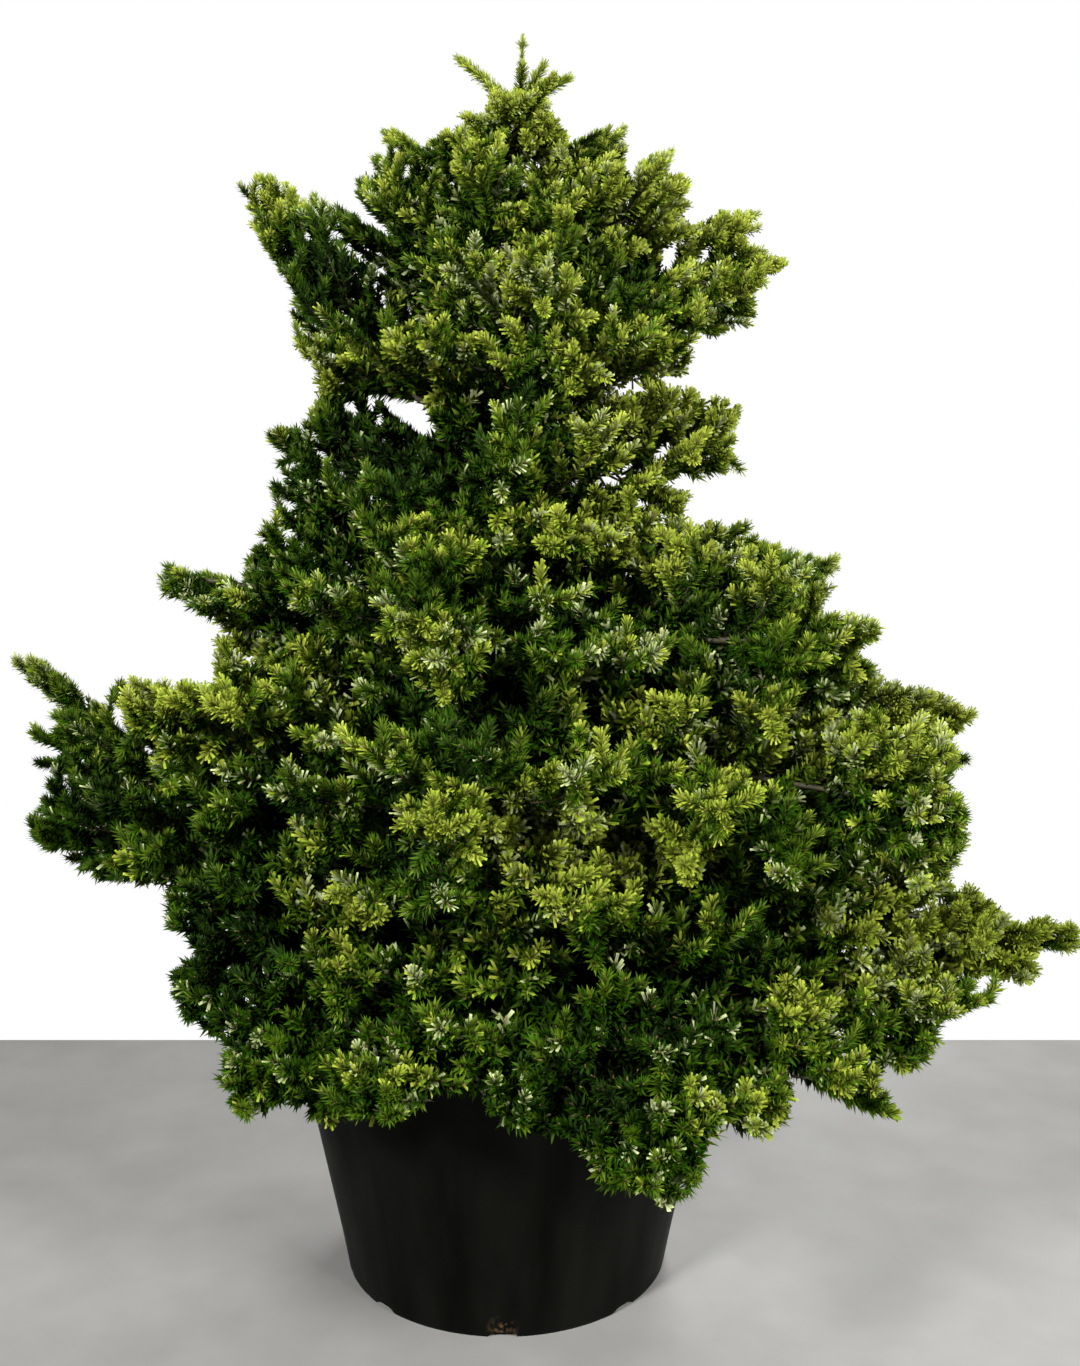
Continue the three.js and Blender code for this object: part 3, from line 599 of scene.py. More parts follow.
def filling_twigs(foot, tip):
    """Twigs that fill the crown where it would be seen through. The frame is divided into cells, and
    the places on the shoots are counted in each: a cell inside the outline with too few of them
    gets a twig, the emptiest first, unless one is near already."""
    shares = np.array([0.2, 0.4, 0.6, 0.8, 1.0])
    points = foot[:, None] + (tip - foot)[:, None] * shares[:, None]
    column, row, _ = in_frame(points.reshape(-1, 3))
    wide, high = FRAME_WIDE // FILL_CELL + 1, FRAME_HIGH // FILL_CELL + 1
    across, down = (column / FILL_CELL).astype(int), (row / FILL_CELL).astype(int)
    shown = (column > 0) & (across < wide) & (row > 0) & (down < high)
    count = np.bincount(down[shown] * wide + across[shown], minlength=wide * high) / len(shares)
    column = (np.arange(wide * high) % wide + 0.5) * FILL_CELL
    row = (np.arange(wide * high) // wide + 0.5) * FILL_CELL
    sky = against_sky(from_frame(column, row, np.full(len(row), CELL_DEPTH)), SKY_EDGE * DRAWN_IN)
    empty = np.flatnonzero((count < FILL_BELOW) & ~sky)
    chosen = []
    for one in empty[np.argsort(count[empty], kind="stable")]:
        away = np.hypot(column[one] - column[chosen], row[one] - row[chosen])
        if not len(chosen) or away.min() > FILL_APART:
            chosen.append(one)
    return twigs_towards(column[chosen], row[chosen], FILLING_FROM, 0.2, LONGEST_FILLING)


def inner_twigs():
    """Old twigs near the trunk, on the bare limbs and on the trunk itself, round them by the golden
    angle. Each belongs to the mass whose line is nearest to its tip, and is shortened to fit."""
    limb = np.repeat(LIMBED, LIMB_TWIGS)
    place = np.arange(len(limb)) % LIMB_TWIGS
    t = BOUGHS["start"][limb] * (LIMB_TWIGS_FROM + LIMB_TWIGS_TAKE * (place + 0.5) / LIMB_TWIGS)
    on_limb = bough_path(limb, t)
    along = unit(bough_path(limb, t + 0.02) - on_limb)
    aside, over = square_to(along, UP)
    turn = (place * GOLDEN_TURN + limb)[:, None]
    limb_heading = unit(along * 0.6 + aside * np.cos(turn) + over * np.sin(turn))
    height = np.arange(TRUNK_TWIGS_FROM, TRUNK_TOP - TRUNK_TWIGS_END, TRUNK_TWIG_SPACING)
    number = np.arange(len(height))
    turn = number * GOLDEN_TURN
    on_trunk = trunk_centre(height)
    trunk_heading = unit(np.stack([np.cos(turn), np.sin(turn), 0.1 + 0.6 * chance(77, number, 1)], -1))
    foot = np.concatenate([on_limb, on_trunk])
    heading = np.concatenate([limb_heading, trunk_heading])
    order = np.arange(len(foot))
    reach = INNER_LENGTH * (0.75 + 0.5 * chance(88, order, 1))
    tips = foot[:, None] + heading[:, None] * (reach[:, None] * INNER_SHARES)[..., None]
    owner = distances(tips.reshape(-1, 3), MASS_LINES).argmin(1).reshape(tips.shape[:2])
    fits = is_free(tips, owner)
    pick = fits.argmax(1)
    tip, mass = tips[order, pick], owner[order, pick]
    tip, clear = short_of_sky(foot, tip)
    keep = fits.any(1) & clear
    return mass[keep], INNER_FROM + order[keep], foot[keep], tip[keep]


def point_on(foot, tip, v, sag):
    """A point at share v of a twig, which hangs a little in its middle, so that its tip turns up."""
    run = tip - foot
    drop = sag * np.linalg.norm(run, axis=-1, keepdims=True) * 4 * v * (1 - v)
    return foot + run * v - UP * drop


def fitting(mass, start, heading, reach, bound):
    """The tips of shoots with a start, heading and length: one that would be seen against the sky
    or, if it is bound, leave its mass's space or round form, is shortened, and else left out.
    Returns the tips and which shoots are kept."""
    ends = start[:, None] + heading[:, None] * (reach[:, None] * SHOOT_SHARES)[..., None]
    owner = mass[:, None] + np.zeros(ends.shape[:2], int)
    outness, _ = form_share(ends.reshape(-1, 3), owner.ravel())
    fits = is_free(ends, owner) & (outness.reshape(owner.shape) < 1) | ~bound[:, None]
    fits &= ~against_sky(ends, SKY_EDGE) & ~against_sky((start[:, None] + ends) / 2, MIDDLE_EDGE)
    fits &= clear_of_pot(ends)
    tip = ends[np.arange(len(ends)), fits.argmax(1)]
    return tip, fits.any(1) & (np.linalg.norm(tip - start, axis=-1) > SHORTEST_SHOOT)


def side_shoots(mass, label, foot, tip, sag, spacing, most, first, longest, bound):
    """Side shoots of twigs, or of longer shoots: left, right and above in turn, now and then
    below, and shorter towards the tip that they grow to. first is the share of the twig before
    the first of them, and bound says which twigs keep them within their mass's form."""
    run = tip - foot
    length = np.linalg.norm(run, axis=-1)
    count = np.clip(np.round(length * (1 - first) / spacing), 0, most).astype(int)
    twig, place = counted(count)
    owner, own = mass[twig], label[twig] * SHOOTS_EACH + place
    order = BOUGHS["order"][owner]
    v = first + (LAST_SHOOT - first) * (place + 0.25 + 0.5 * chance(order, own, 5)) / count[twig]
    along = unit(run[twig])
    aside, over = square_to(along, UP + 0.01)
    rank = (place + label[twig].astype(int)) % 3
    raised = SIDE_RISE + RISE_CHANCE * chance(order, own, 6)
    below = chance(order, own, 9) < SHOOTS_BELOW
    upright = np.where(below, -STEEPNESS, STEEPNESS) + raised * 0.5
    around = np.choose(rank, [raised, np.pi - raised, upright])[:, None]
    angle = np.radians(SHOOT_ANGLE + ANGLE_CHANCE * chance(order, own, 7))[:, None]
    heading = along * np.cos(angle) + (aside * np.cos(around) + over * np.sin(around)) * np.sin(angle)
    reach = longest * (0.7 + 0.5 * chance(order, own, 8)) * (LENGTH_FOOT - LENGTH_LOST * v)
    start = point_on(foot[twig], tip[twig], v[:, None], sag)
    outward = unit(start * np.array([1, 1, 0]))
    heading = unit(heading + outward * OUTWARD + UP * UPWARD)
    end, keep = fitting(owner, start, heading, reach, bound[twig])
    return owner[keep], own[keep], start[keep], end[keep]


def stem_shoots():
    """Shoots that grow on the stems themselves, round them by the golden angle but more above than
    below, so that no stem shows bare."""
    length = BOUGHS["reach"] * (1 - BOUGHS["start"])
    count = np.round(length * (LAST_SHOOT - BOUGHS["clear"]) / STEM_SPACING).astype(int)
    mass, place = counted(count)
    order = BOUGHS["order"][mass]
    s = BOUGHS["clear"][mass] + (LAST_SHOOT - BOUGHS["clear"][mass]) * (place + 0.5) / count[mass]
    start = path_in_mass(mass, s)
    along = unit(path_in_mass(mass, s + 0.01) - start)
    aside, over = square_to(along, UP)
    turn = place * GOLDEN_TURN + chance(order, place, 23)
    around = aside * np.cos(turn)[:, None] + over * (0.35 + np.sin(turn))[:, None]
    heading = unit(along * (0.55 + 0.5 * chance(order, place, 24))[:, None] + unit(around))
    reach = SHOOT_LENGTH * (0.8 + 0.4 * chance(order, place, 25))
    end, keep = fitting(mass, start, heading, reach, mass >= 0)
    return mass[keep], STEM_SHOOTS_FROM + place[keep], start[keep], end[keep]


def twig_ends(mass, label, foot, tip):
    """The last stretch of each twig, which bears needles as thickly as a side shoot."""
    stretch = np.where(label < SPRAYS_FROM, END_SHOOT, LONG_END)
    share = 1 - stretch / np.linalg.norm(tip - foot, axis=-1)
    start = point_on(foot, tip, np.maximum(share, 0.3)[:, None], SAG)
    return mass, TWIG_ENDS_FROM + label, start, tip


def leader_growth():
    """The leader, the knob of needles at its tip and the shoots round its foot, as feet and tips.
    The shoots end short of their full reach, which their last needles take up."""
    foot = trunk_centre(TRUNK_TOP)
    feet = [foot, trunk_centre(LEADER_HEIGHT - KNOB_FOOT)]
    tips = [trunk_centre(LEADER_HEIGHT - LEADER_END), trunk_centre(LEADER_HEIGHT - KNOB_TIP)]
    for azimuth, reach, height in LEADER_SHOOTS + LEADER_SPRIGS:
        turn = math.radians(azimuth)
        end = np.array([foot[0] + reach * math.cos(turn), foot[1] + reach * math.sin(turn), height])
        feet.append(foot)
        tips.append(end - unit(end - foot) * LEADER_SHOOT_END)
    return np.array(feet), np.array(tips)


def together(*tables):
    """Several tables of shoots as one."""
    return [np.concatenate(columns) for columns in zip(*tables)]


def shoots_of(twigs):
    """The side shoots of twigs, the small shoots on those, and the twigs' own ends."""
    bound = twigs[1] < BOUND_BELOW
    on_twigs = side_shoots(
        *twigs, SAG, SHOOT_SPACING, MOST_SHOOTS, FIRST_SHOOT, SHOOT_LENGTH, bound)
    free = np.zeros(len(on_twigs[1]), bool)
    on_shoots = side_shoots(*on_twigs, 0, SMALL_SPACING, MOST_SMALL, FIRST_SMALL, SMALL_LENGTH, free)
    return together(on_twigs, on_shoots, twig_ends(*twigs))


twigs = together(twigs_of_masses(), inner_twigs(), outline_sprays())
shoots = together(shoots_of(twigs), stem_shoots())
filling = filling_twigs(shoots[2], shoots[3])
twig_mass, twig_label, twig_foot, twig_tip = together(twigs, filling)
shoot_mass, shoot_label, shoot_foot, shoot_tip = together(shoots, shoots_of(filling))
leader_foot, leader_tip = leader_growth()

# ---------------------------------------------------------------- putting arrays into meshes


def put_mesh(name, vertices, *faces, smooth=False):
    """A mesh object from an array of points and arrays of faces, each array with its own number
    of corners to a face."""
    mesh = bpy.data.meshes.new(name)
    mesh.vertices.add(len(vertices))
    mesh.vertices.foreach_set("co", np.asarray(vertices, np.float32).ravel())
    corners = np.concatenate([group.ravel() for group in faces])
    sizes = np.concatenate([np.full(len(group), group.shape[1]) for group in faces])
    mesh.loops.add(len(corners))
    mesh.loops.foreach_set("vertex_index", corners.astype(np.int32))
    mesh.polygons.add(len(sizes))
    mesh.polygons.foreach_set("loop_start", (np.cumsum(sizes) - sizes).astype(np.int32))
    mesh.polygons.foreach_set("use_smooth", np.full(len(sizes), smooth))
    mesh.update(calc_edges=True)
    piece = bpy.data.objects.new(name, mesh)
    bpy.context.scene.collection.objects.link(piece)
    return piece


def bands(rings, sides, first=0):
    """Faces of four corners between neighbouring rings of points, from the ring first on."""
    ring = np.arange(first, rings - 1)[:, None] * sides
    here, after = np.arange(sides), (np.arange(sides) + 1) % sides
    return np.stack([ring + here, ring + after, ring + sides + after, ring + sides + here], -1)


def fan(ring, middle, sides):
    """Faces of three corners between a ring, from the point numbered ring on, and a middle point."""
    here, after = np.arange(sides), (np.arange(sides) + 1) % sides
    return np.stack([ring + here, ring + after, 0 * here + middle], -1)


def tubes(paths, radii, sides, reference):
    """Closed tubes: rings of points at each place of each path, square to it, with a point in the
    middle of the first and last ring, or one face across each if they have three sides. Returns
    the points and the faces in fours and threes."""
    count, places = radii.shape[:2]
    along = unit(np.gradient(paths, axis=1))
    u = unit(reference[:, None] - along * (along * reference[:, None]).sum(-1, keepdims=True))
    w = np.cross(along, u)
    turn = turns(sides)
    spoke = u[:, :, None] * np.cos(turn)[:, None] + w[:, :, None] * np.sin(turn)[:, None]
    width = radii if radii.ndim == 3 else radii[..., None]
    rings = paths[:, :, None] + spoke * width[..., None]
    points = rings.reshape(count, -1, 3)
    if sides > 3:
        points = np.concatenate([points, paths[:, [0, -1]]], 1)
    each = points.shape[1]
    last = (places - 1) * sides
    foot, tip = fan(0, each - 2, sides)[:, [1, 0, 2]], fan(last, each - 1, sides)
    if sides == 3:
        foot, tip = np.array([[2, 1, 0]]), np.array([[last, last + 1, last + 2]])
    shift = (np.arange(count) * each)[:, None, None]
    fours = (bands(places, sides).reshape(1, -1, 4) + shift).reshape(-1, 4)
    threes = (np.concatenate([foot, tip])[None] + shift).reshape(-1, 3)
    return points.reshape(-1, 3), fours, threes


def joined(parts):
    """Several sets of points and faces as one: the faces' numbers move up by the points before."""
    before = np.cumsum([0] + [len(points) for points, _, _ in parts])
    points = np.concatenate([part[0] for part in parts])
    fours = np.concatenate([part[1] + shift for part, shift in zip(parts, before)])
    threes = np.concatenate([part[2] + shift for part, shift in zip(parts, before)])
    return points, fours, threes


# ---------------------------------------------------------------- materials

def new_material(name, roughness, specular=0.5):
    """A material with its Principled shader and texture coordinates to hand."""
    material = bpy.data.materials.new(name)
    material.use_nodes = True
    nodes = material.node_tree.nodes
    shader = nodes["Principled BSDF"].inputs
    shader["Roughness"].default_value = roughness
    shader["Specular IOR Level"].default_value = specular
    place = nodes.new("ShaderNodeTexCoord").outputs
    return material, nodes, shader, place


def new_node(nodes, kind, values):
    """A shader node with the values of its inputs, each given by the input's name or number."""
    node = nodes.new("ShaderNode" + kind)
    for name, value in values.items():
        node.inputs[name].default_value = value
    return node


def new_mix(nodes, values):
    """A node that mixes its colours 6 and 7, and gives the mixture as its output 2."""
    mix = new_node(nodes, "Mix", values)
    mix.data_type = "RGBA"
    return mix


def new_product(nodes, values):
    """A node that multiplies its two inputs."""
    product = new_node(nodes, "Math", values)
    product.operation = "MULTIPLY"
    return product


def link(tree, *pairs):
    """Links outputs to inputs, pair by pair."""
    for output, entry in pairs:
        tree.links.new(output, entry)


def mottle_group():
    """A node group, built once: two colours mixed by soft noise, with a finer noise as height."""
    group = bpy.data.node_groups.new("mottle", "ShaderNodeTree")
    for name, kind in (("Place", "Vector"), ("Scale", "Float"), ("Dark", "Color"), ("Light", "Color")):
        group.interface.new_socket(name, in_out="INPUT", socket_type=f"NodeSocket{kind}")
    for name, kind in (("Color", "Color"), ("Height", "Float")):
        group.interface.new_socket(name, in_out="OUTPUT", socket_type=f"NodeSocket{kind}")
    nodes = group.nodes
    given, result = nodes.new("NodeGroupInput").outputs, nodes.new("NodeGroupOutput").inputs
    broad, fine = new_node(nodes, "TexNoise", {"Detail": 3}), new_node(nodes, "TexNoise", {"Detail": 5})
    finer = new_product(nodes, {1: 6})
    spread = new_node(nodes, "MapRange", {"From Min": 0.35, "From Max": 0.65})
    mix = new_mix(nodes, {})
    link(
        group,
        (given["Place"], broad.inputs["Vector"]), (given["Scale"], broad.inputs["Scale"]),
        (given["Place"], fine.inputs["Vector"]), (given["Scale"], finer.inputs[0]),
        (finer.outputs[0], fine.inputs["Scale"]), (broad.outputs["Fac"], spread.inputs["Value"]),
        (spread.outputs["Result"], mix.inputs["Factor"]),
        (given["Dark"], mix.inputs[6]), (given["Light"], mix.inputs[7]),
        (mix.outputs[2], result["Color"]), (fine.outputs["Fac"], result["Height"]),
    )
    return group


MOTTLE = mottle_group()


def mottle_node(nodes, scale, dark, light):
    """The mottle group as a node of a material, with its two colours."""
    mottle = nodes.new("ShaderNodeGroup")
    mottle.node_tree = MOTTLE
    for name, value in (("Scale", scale), ("Dark", (*dark, 1)), ("Light", (*light, 1))):
        mottle.inputs[name].default_value = value
    return mottle


def mottled(name, dark, light, scale, roughness, bump, depth=0.001, specular=0.5, stretch=(1, 1, 1)):
    """A material of two mottled colours with a fine bump, its pattern stretched along an axis."""
    material, nodes, shader, place = new_material(name, roughness, specular)
    mapping = new_node(nodes, "Mapping", {"Scale": stretch})
    mottle = mottle_node(nodes, scale, dark, light)
    relief = new_node(nodes, "Bump", {"Strength": bump, "Distance": depth})
    link(
        material.node_tree,
        (place["Object"], mapping.inputs["Vector"]),
        (mapping.outputs["Vector"], mottle.inputs["Place"]),
        (mottle.outputs["Color"], shader["Base Color"]),
        (mottle.outputs["Height"], relief.inputs["Height"]),
        (relief.outputs["Normal"], shader["Normal"]),
    )
    return material


SILVER_GREY = np.array([0.52, 0.58, 0.42])
UNDER_PALE = 0.03  # how much of it is added on the underside of a needle
FOOT_PAINTED_SHADE = 0.85  # painted shade: how much darker a needle is at its foot, among the others
FOOT_SHADE_COLOUR = 0.25  # the painted shade's colour there, as a share of its darker colour
NEEDLE_MOTTLE = 34  # scale of the change between its two colours
NEEDLE_GLOSS = 0.04


def needle_material(name, dark, light, roughness):
    """A needle's finish: two near greens mottled from place to place, darker at its foot than at its
    tip as painted shade, and a paler, bluer underside. Its UV map runs from 0 at the foot to 1 at the tip."""
    material, nodes, shader, place = new_material(name, roughness, NEEDLE_GLOSS)
    mottle = mottle_node(nodes, NEEDLE_MOTTLE, dark, light)
    side = nodes.new("ShaderNodeNewGeometry").outputs
    under = new_mix(nodes, {7: (*(np.array(light) + UNDER_PALE * SILVER_GREY), 1)})
    along = new_node(nodes, "SeparateXYZ", {})
    # painted shade: the needle's colour darkens towards its foot
    shaded = new_node(nodes, "MapRange", {"To Min": FOOT_PAINTED_SHADE, "To Max": 0.0})
    foot = new_mix(nodes, {7: (*(np.array(dark) * FOOT_SHADE_COLOUR), 1)})
    link(
        material.node_tree,
        (place["Object"], mottle.inputs["Place"]), (mottle.outputs["Color"], under.inputs[6]),
        (side["Backfacing"], under.inputs["Factor"]), (place["UV"], along.inputs["Vector"]),
        (along.outputs["X"], shaded.inputs["Value"]), (shaded.outputs["Result"], foot.inputs["Factor"]),
        (under.outputs[2], foot.inputs[6]), (foot.outputs[2], shader["Base Color"]),
    )
    return material


# ---------------------------------------------------------------- needles

# The greens, partly painted shade and light, from the oldest needles inside the crown to the
# youngest at its edge, and the silver undersides of turned needles, partly painted highlights:
# name, darker and lighter colour, roughness.
GREENS = [
    ("shade", (0.006, 0.017, 0.0008), (0.013, 0.036, 0.0012), 0.60),
    ("deep", (0.013, 0.043, 0.0010), (0.025, 0.070, 0.0018), 0.58),
    ("leaf", (0.018, 0.079, 0.0014), (0.062, 0.124, 0.0030), 0.56),
    ("fresh_and_lit", (0.052, 0.139, 0.005), (0.150, 0.222, 0.011), 0.54),
    ("yellow_lit", (0.190, 0.285, 0.018), (0.385, 0.440, 0.050), 0.52),
    ("silver_and_highlight", (0.290, 0.350, 0.120), (0.500, 0.560, 0.270), 0.48),
]
SILVER_AND_HIGHLIGHT = len(GREENS) - 1
LIGHT_CELL = 0.025  # of the grid in which the shoots' shade is added up
LIGHT_STEPS = 16  # cells that a ray passes
LIGHT_RAYS = 26
LIGHT_LOSS = 0.22  # in a cell with one shoot
LOWEST_RAY = -0.35  # rise of the lowest ray, where the highest rises straight up


def light_on(points, feet, tips):
    """How much light reaches each point through the shoots, as its rank from 0 to 1. The shoots are
    counted into a grid of cells, and along each of several headings, upwards and sideways, each
    cell takes a share away."""
    spots = np.concatenate([feet, (feet + tips) / 2, tips])
    low = spots.min(0) - 2 * LIGHT_CELL
    cells = np.ceil((spots.max(0) - low) / LIGHT_CELL).astype(int) + 3
    thick = np.zeros(cells)
    np.add.at(thick, tuple(((spots - low) / LIGHT_CELL).astype(int).T), 1 / 3)
    total = np.zeros(len(points))
    for ray in range(LIGHT_RAYS):
        rise = LOWEST_RAY + (1 - LOWEST_RAY) * (ray + 0.5) / LIGHT_RAYS
        level = math.sqrt(1 - rise * rise)
        turn = ray * GOLDEN_TURN
        heading = np.array([level * math.cos(turn), level * math.sin(turn), rise])
        steps = points[:, None] + heading * (LIGHT_CELL * np.arange(1, LIGHT_STEPS + 1))[:, None]
        index = np.clip(((steps - low) / LIGHT_CELL).astype(int), 0, cells - 1)
        total += np.exp(-LIGHT_LOSS * thick[tuple(index.transpose(2, 0, 1))].sum(1))
    rank = np.empty(len(points))
    rank[np.argsort(total, kind="stable")] = np.linspace(0, 1, len(points))
    return rank


def needles_on(foot, tip, sag, count, start, label, length, breadth, spread=1.0):
    """Needles round shoots by the golden angle: each leans forward, more so towards the tip of its
    shoot, and turns up a little. A needle is a blade of four corners, narrow at its foot, blunt at
    its tip and slightly twisted. spread is how far it leans out, as a share of the usual.
    Returns the corners, each needle's shoot, its share of the way along it and its number."""
    shoot, number = counted(count)
    share = (number + 0.5) / count[shoot]
    own = label[shoot]
    v = (start + (1 - start) * share ** NEEDLE_CROWDING)[:, None]
    run = tip - foot
    size = np.linalg.norm(run, axis=-1, keepdims=True)
    base = point_on(foot[shoot], tip[shoot], v, sag)
    along = unit(run[shoot] - UP * sag * 4 * size[shoot] * (1 - 2 * v))
    aside, over = square_to(along, np.array([0.13, 0.07, 0.99]))
    around = (number * GOLDEN_TURN + FULL_TURN * chance(own, 1, 11))[:, None]
    spoke = aside * np.cos(around) + over * np.sin(around)
    lean = NEEDLE_LEAN - LEAN_LOST * share ** 3 + LEAN_CHANCE * (chance(own, number, 12) - 0.5)
    lean = spread * np.radians(lean)[:, None]
    heading = unit(along * np.cos(lean) + spoke * np.sin(lean) + UP * NEEDLE_LIFT)
    reach = length[shoot] * (0.75 + 0.35 * chance(own, number, 13))
    wild = np.stack([chance(own, number, use) - 0.5 for use in (14, 15, 16)], -1)
    aim = unit(along * 0.4 + UP * 0.5 + wild * 1.6)
    normal = unit(aim - heading * (aim * heading).sum(-1, keepdims=True))
    across = np.cross(heading, normal)
    twisted = unit(across + normal * 0.5 * wild[:, :1])
    end = base + heading * reach[:, None]
    half_foot = across * (NEEDLE_FOOT / 2 * breadth[shoot])[:, None]
    half_tip = twisted * (NEEDLE_TIP / 2 * breadth[shoot])[:, None]
    corners = np.stack([base - half_foot, base + half_foot, end + half_tip, end - half_tip], 1)
    return corners, shoot, share, number


# Painted light and shade, where the front of the crown is brighter or darker than the rest: column
# and row of the frame, half width and half height, and by how much of the whole way from old to
# young needles.
PAINTED_LIGHT_PATCHES = [
    (175, 705, 50, 30, 0.35), (220, 750, 45, 30, 0.2), (325, 895, 70, 40, 0.4), (340, 955, 55, 30, 0.2),
    (490, 835, 95, 32, 0.55), (610, 850, 80, 45, 0.6), (690, 875, 50, 30, 0.4), (513, 950, 45, 40, 0.45),
    (610, 700, 60, 45, 0.35), (430, 630, 60, 30, 0.25), (740, 710, 80, 35, 0.25), (800, 765, 80, 45, 0.4),
    (930, 710, 60, 25, 0.2), (960, 925, 90, 45, 0.5), (870, 920, 60, 40, 0.25), (660, 1045, 30, 25, 0.15),
    (740, 1100, 60, 35, 0.2), (820, 1010, 60, 35, 0.25), (480, 280, 60, 40, 0.2), (560, 310, 60, 40, 0.25),
    (240, 650, 40, 35, 0.2), (620, 520, 60, 50, 0.4), (351, 729, 45, 35, 0.3), (651, 210, 50, 40, 0.35),
    (260, 210, 45, 60, 0.2), (700, 240, 80, 80, 0.3), (680, 420, 80, 60, 0.35), (930, 720, 60, 50, 0.1),
    (1020, 940, 50, 40, 0.15), (510, 540, 100, 70, 0.2), (780, 570, 80, 50, 0.15), (200, 585, 40, 30, 0.12),
    (473, 380, 35, 35, 0.4), (392, 375, 40, 25, 0.35), (620, 390, 70, 40, 0.5), (530, 110, 60, 40, 0.35),
    (420, 1070, 60, 35, 0.05), (430, 1080, 40, 30, 0.15),
    (525, 375, 35, 40, -0.6), (400, 470, 85, 40, -0.6), (640, 285, 50, 30, -0.3), (345, 415, 30, 25, -0.2),
    (470, 735, 45, 35, -0.55), (380, 700, 50, 30, -0.25), (405, 860, 50, 40, -0.7), (640, 1035, 80, 35, -0.5),
    (590, 1090, 60, 40, -0.55), (730, 940, 40, 30, -0.3), (75, 790, 70, 80, -0.37), (230, 930, 100, 60, -0.3),
    (225, 990, 70, 60, -0.45), (238, 794, 60, 35, -0.35), (780, 830, 60, 60, -0.2), (756, 660, 60, 40, -0.3),
    (310, 250, 60, 60, -0.25), (640, 1140, 80, 50, -0.25), (480, 600, 50, 40, -0.25),
    (303, 583, 60, 40, -0.4),
    (173, 583, 40, 40, -0.4), (586, 632, 35, 25, -0.3), (789, 567, 50, 30, -0.3), (890, 840, 60, 60, -0.15),
    (360, 1100, 50, 25, -0.15), (250, 1070, 70, 50, -0.15),
]
PATCH_DEPTH = 2.1  # how far from the eye the patches fade out
PATCH_FADE = 0.25  # and over what distance
# Where more needles show their silver side, partly as painted highlights: column and row, half
# width and half height.
SILVER_AND_HIGHLIGHT_SPOTS = [
    (520, 285, 45, 25), (465, 290, 30, 20), (560, 300, 25, 20), (830, 740, 40, 40), (725, 715, 30, 30),
    (240, 650, 35, 40), (370, 670, 40, 30), (590, 840, 70, 35), (410, 800, 30, 20), (500, 810, 40, 20),
    (920, 900, 40, 30), (900, 960, 40, 30), (700, 1040, 50, 30), (650, 380, 60, 30), (230, 1050, 40, 30),
    (430, 930, 30, 25), (330, 870, 40, 25), (640, 640, 50, 25), (490, 640, 35, 25), (940, 700, 50, 25),
]


def patched(points, patches):
    """How much each patch adds at the places where points are seen: a bell over the patch."""
    column, row, far = in_frame(points)
    near = np.clip((PATCH_DEPTH - far) / PATCH_FADE, 0, 1)
    total = np.zeros(len(points))
    for x, y, half_width, half_height, *gain in patches:
        out = ((column - x) / half_width) ** 2 + ((row - y) / half_height) ** 2
        total += (gain[0] if gain else 1) * np.exp(-out)
    return total * near


GREEN_STEPS = 4.4  # from the oldest, most shaded green to the youngest, most lit
LIGHT_COUNTS = 0.84  # how much the light (painted light and shade), the cluster and chance count for the green
CLUSTER_COUNTS = 0.26
CHANCE_COUNTS = 0.30


def greens_by_painted_light(light, tip, order, label):
    """How young a shoot's green is, in steps of the list of greens, with painted light and shade: by
    the light that reaches it, its cluster, its patch of painted light and shade, and chance."""
    x, y, z = tip.T
    cluster = np.sin(x * 23 + order) * np.sin(y * 21 - order) * np.sin(z * 25)
    # the patches paint light and shade into the greens seen from the front
    value = LIGHT_COUNTS * light + CLUSTER_COUNTS * cluster + patched(tip, PAINTED_LIGHT_PATCHES)
    return (value + CHANCE_COUNTS * (chance(order, label, 21) - 0.5)) * GREEN_STEPS


# The needles of the leader, of the knob at its tip and of the shoots round its foot: which ones,
# how many on a metre, from which share of them on, their length and how far they lean out.
LEADER_NEEDLES = [
    (slice(0, 1), 1900, 0.05, 0.0085, 0.7), (slice(1, 2), 7000, 0.0, 0.0090, 1.3),
    (slice(2, None), 3800, 0.04, 0.0125, 0.9),
]
LEADER_GREEN = 3  # of those needles
YOUNGER_SHARES = (0.55, 0.10)  # the shares of them that are one green younger, dealt out twice
LIT_SLOPE, LIT_LESS = 2.2, 1.15  # a shoot is lit by its light times the first, less the second
MOST_SHADED = 0.3  # below this share of light, needles are broader still
TWIG_START, SHOOT_START = 0.15, 0.03  # share of a twig or a shoot before its first needle
SMALL_FROM, SMALL_OVER = 0.9, 0.7  # needles get smaller from this height on, over this much more
SMALL_LOSS = 0.22  # by this share
SHADE_LENGTH = 0.25  # how much longer a needle in full shade is
TIP_STRETCH, TIP_DARKER = 0.026, 1.3  # over this length from the tip they darken by this many greens: age and painted light
SECOND_YEAR = 0.075  # further from the tip than this, they are one green older
OLD_WOOD, OLD_GREENS = 0.13, 3  # and further than this, three more
YOUNG_FROM = 0.55  # added to a green before it is rounded down
SILVER_STEEP, SILVER_LESS = 3, 2.4  # few shoots have many silver needles, partly painted highlights, and most have none
MOST_SILVER = 0.5
LEADER_BREADTH = 0.0135  # length of a leader's needle that is as broad as the usual


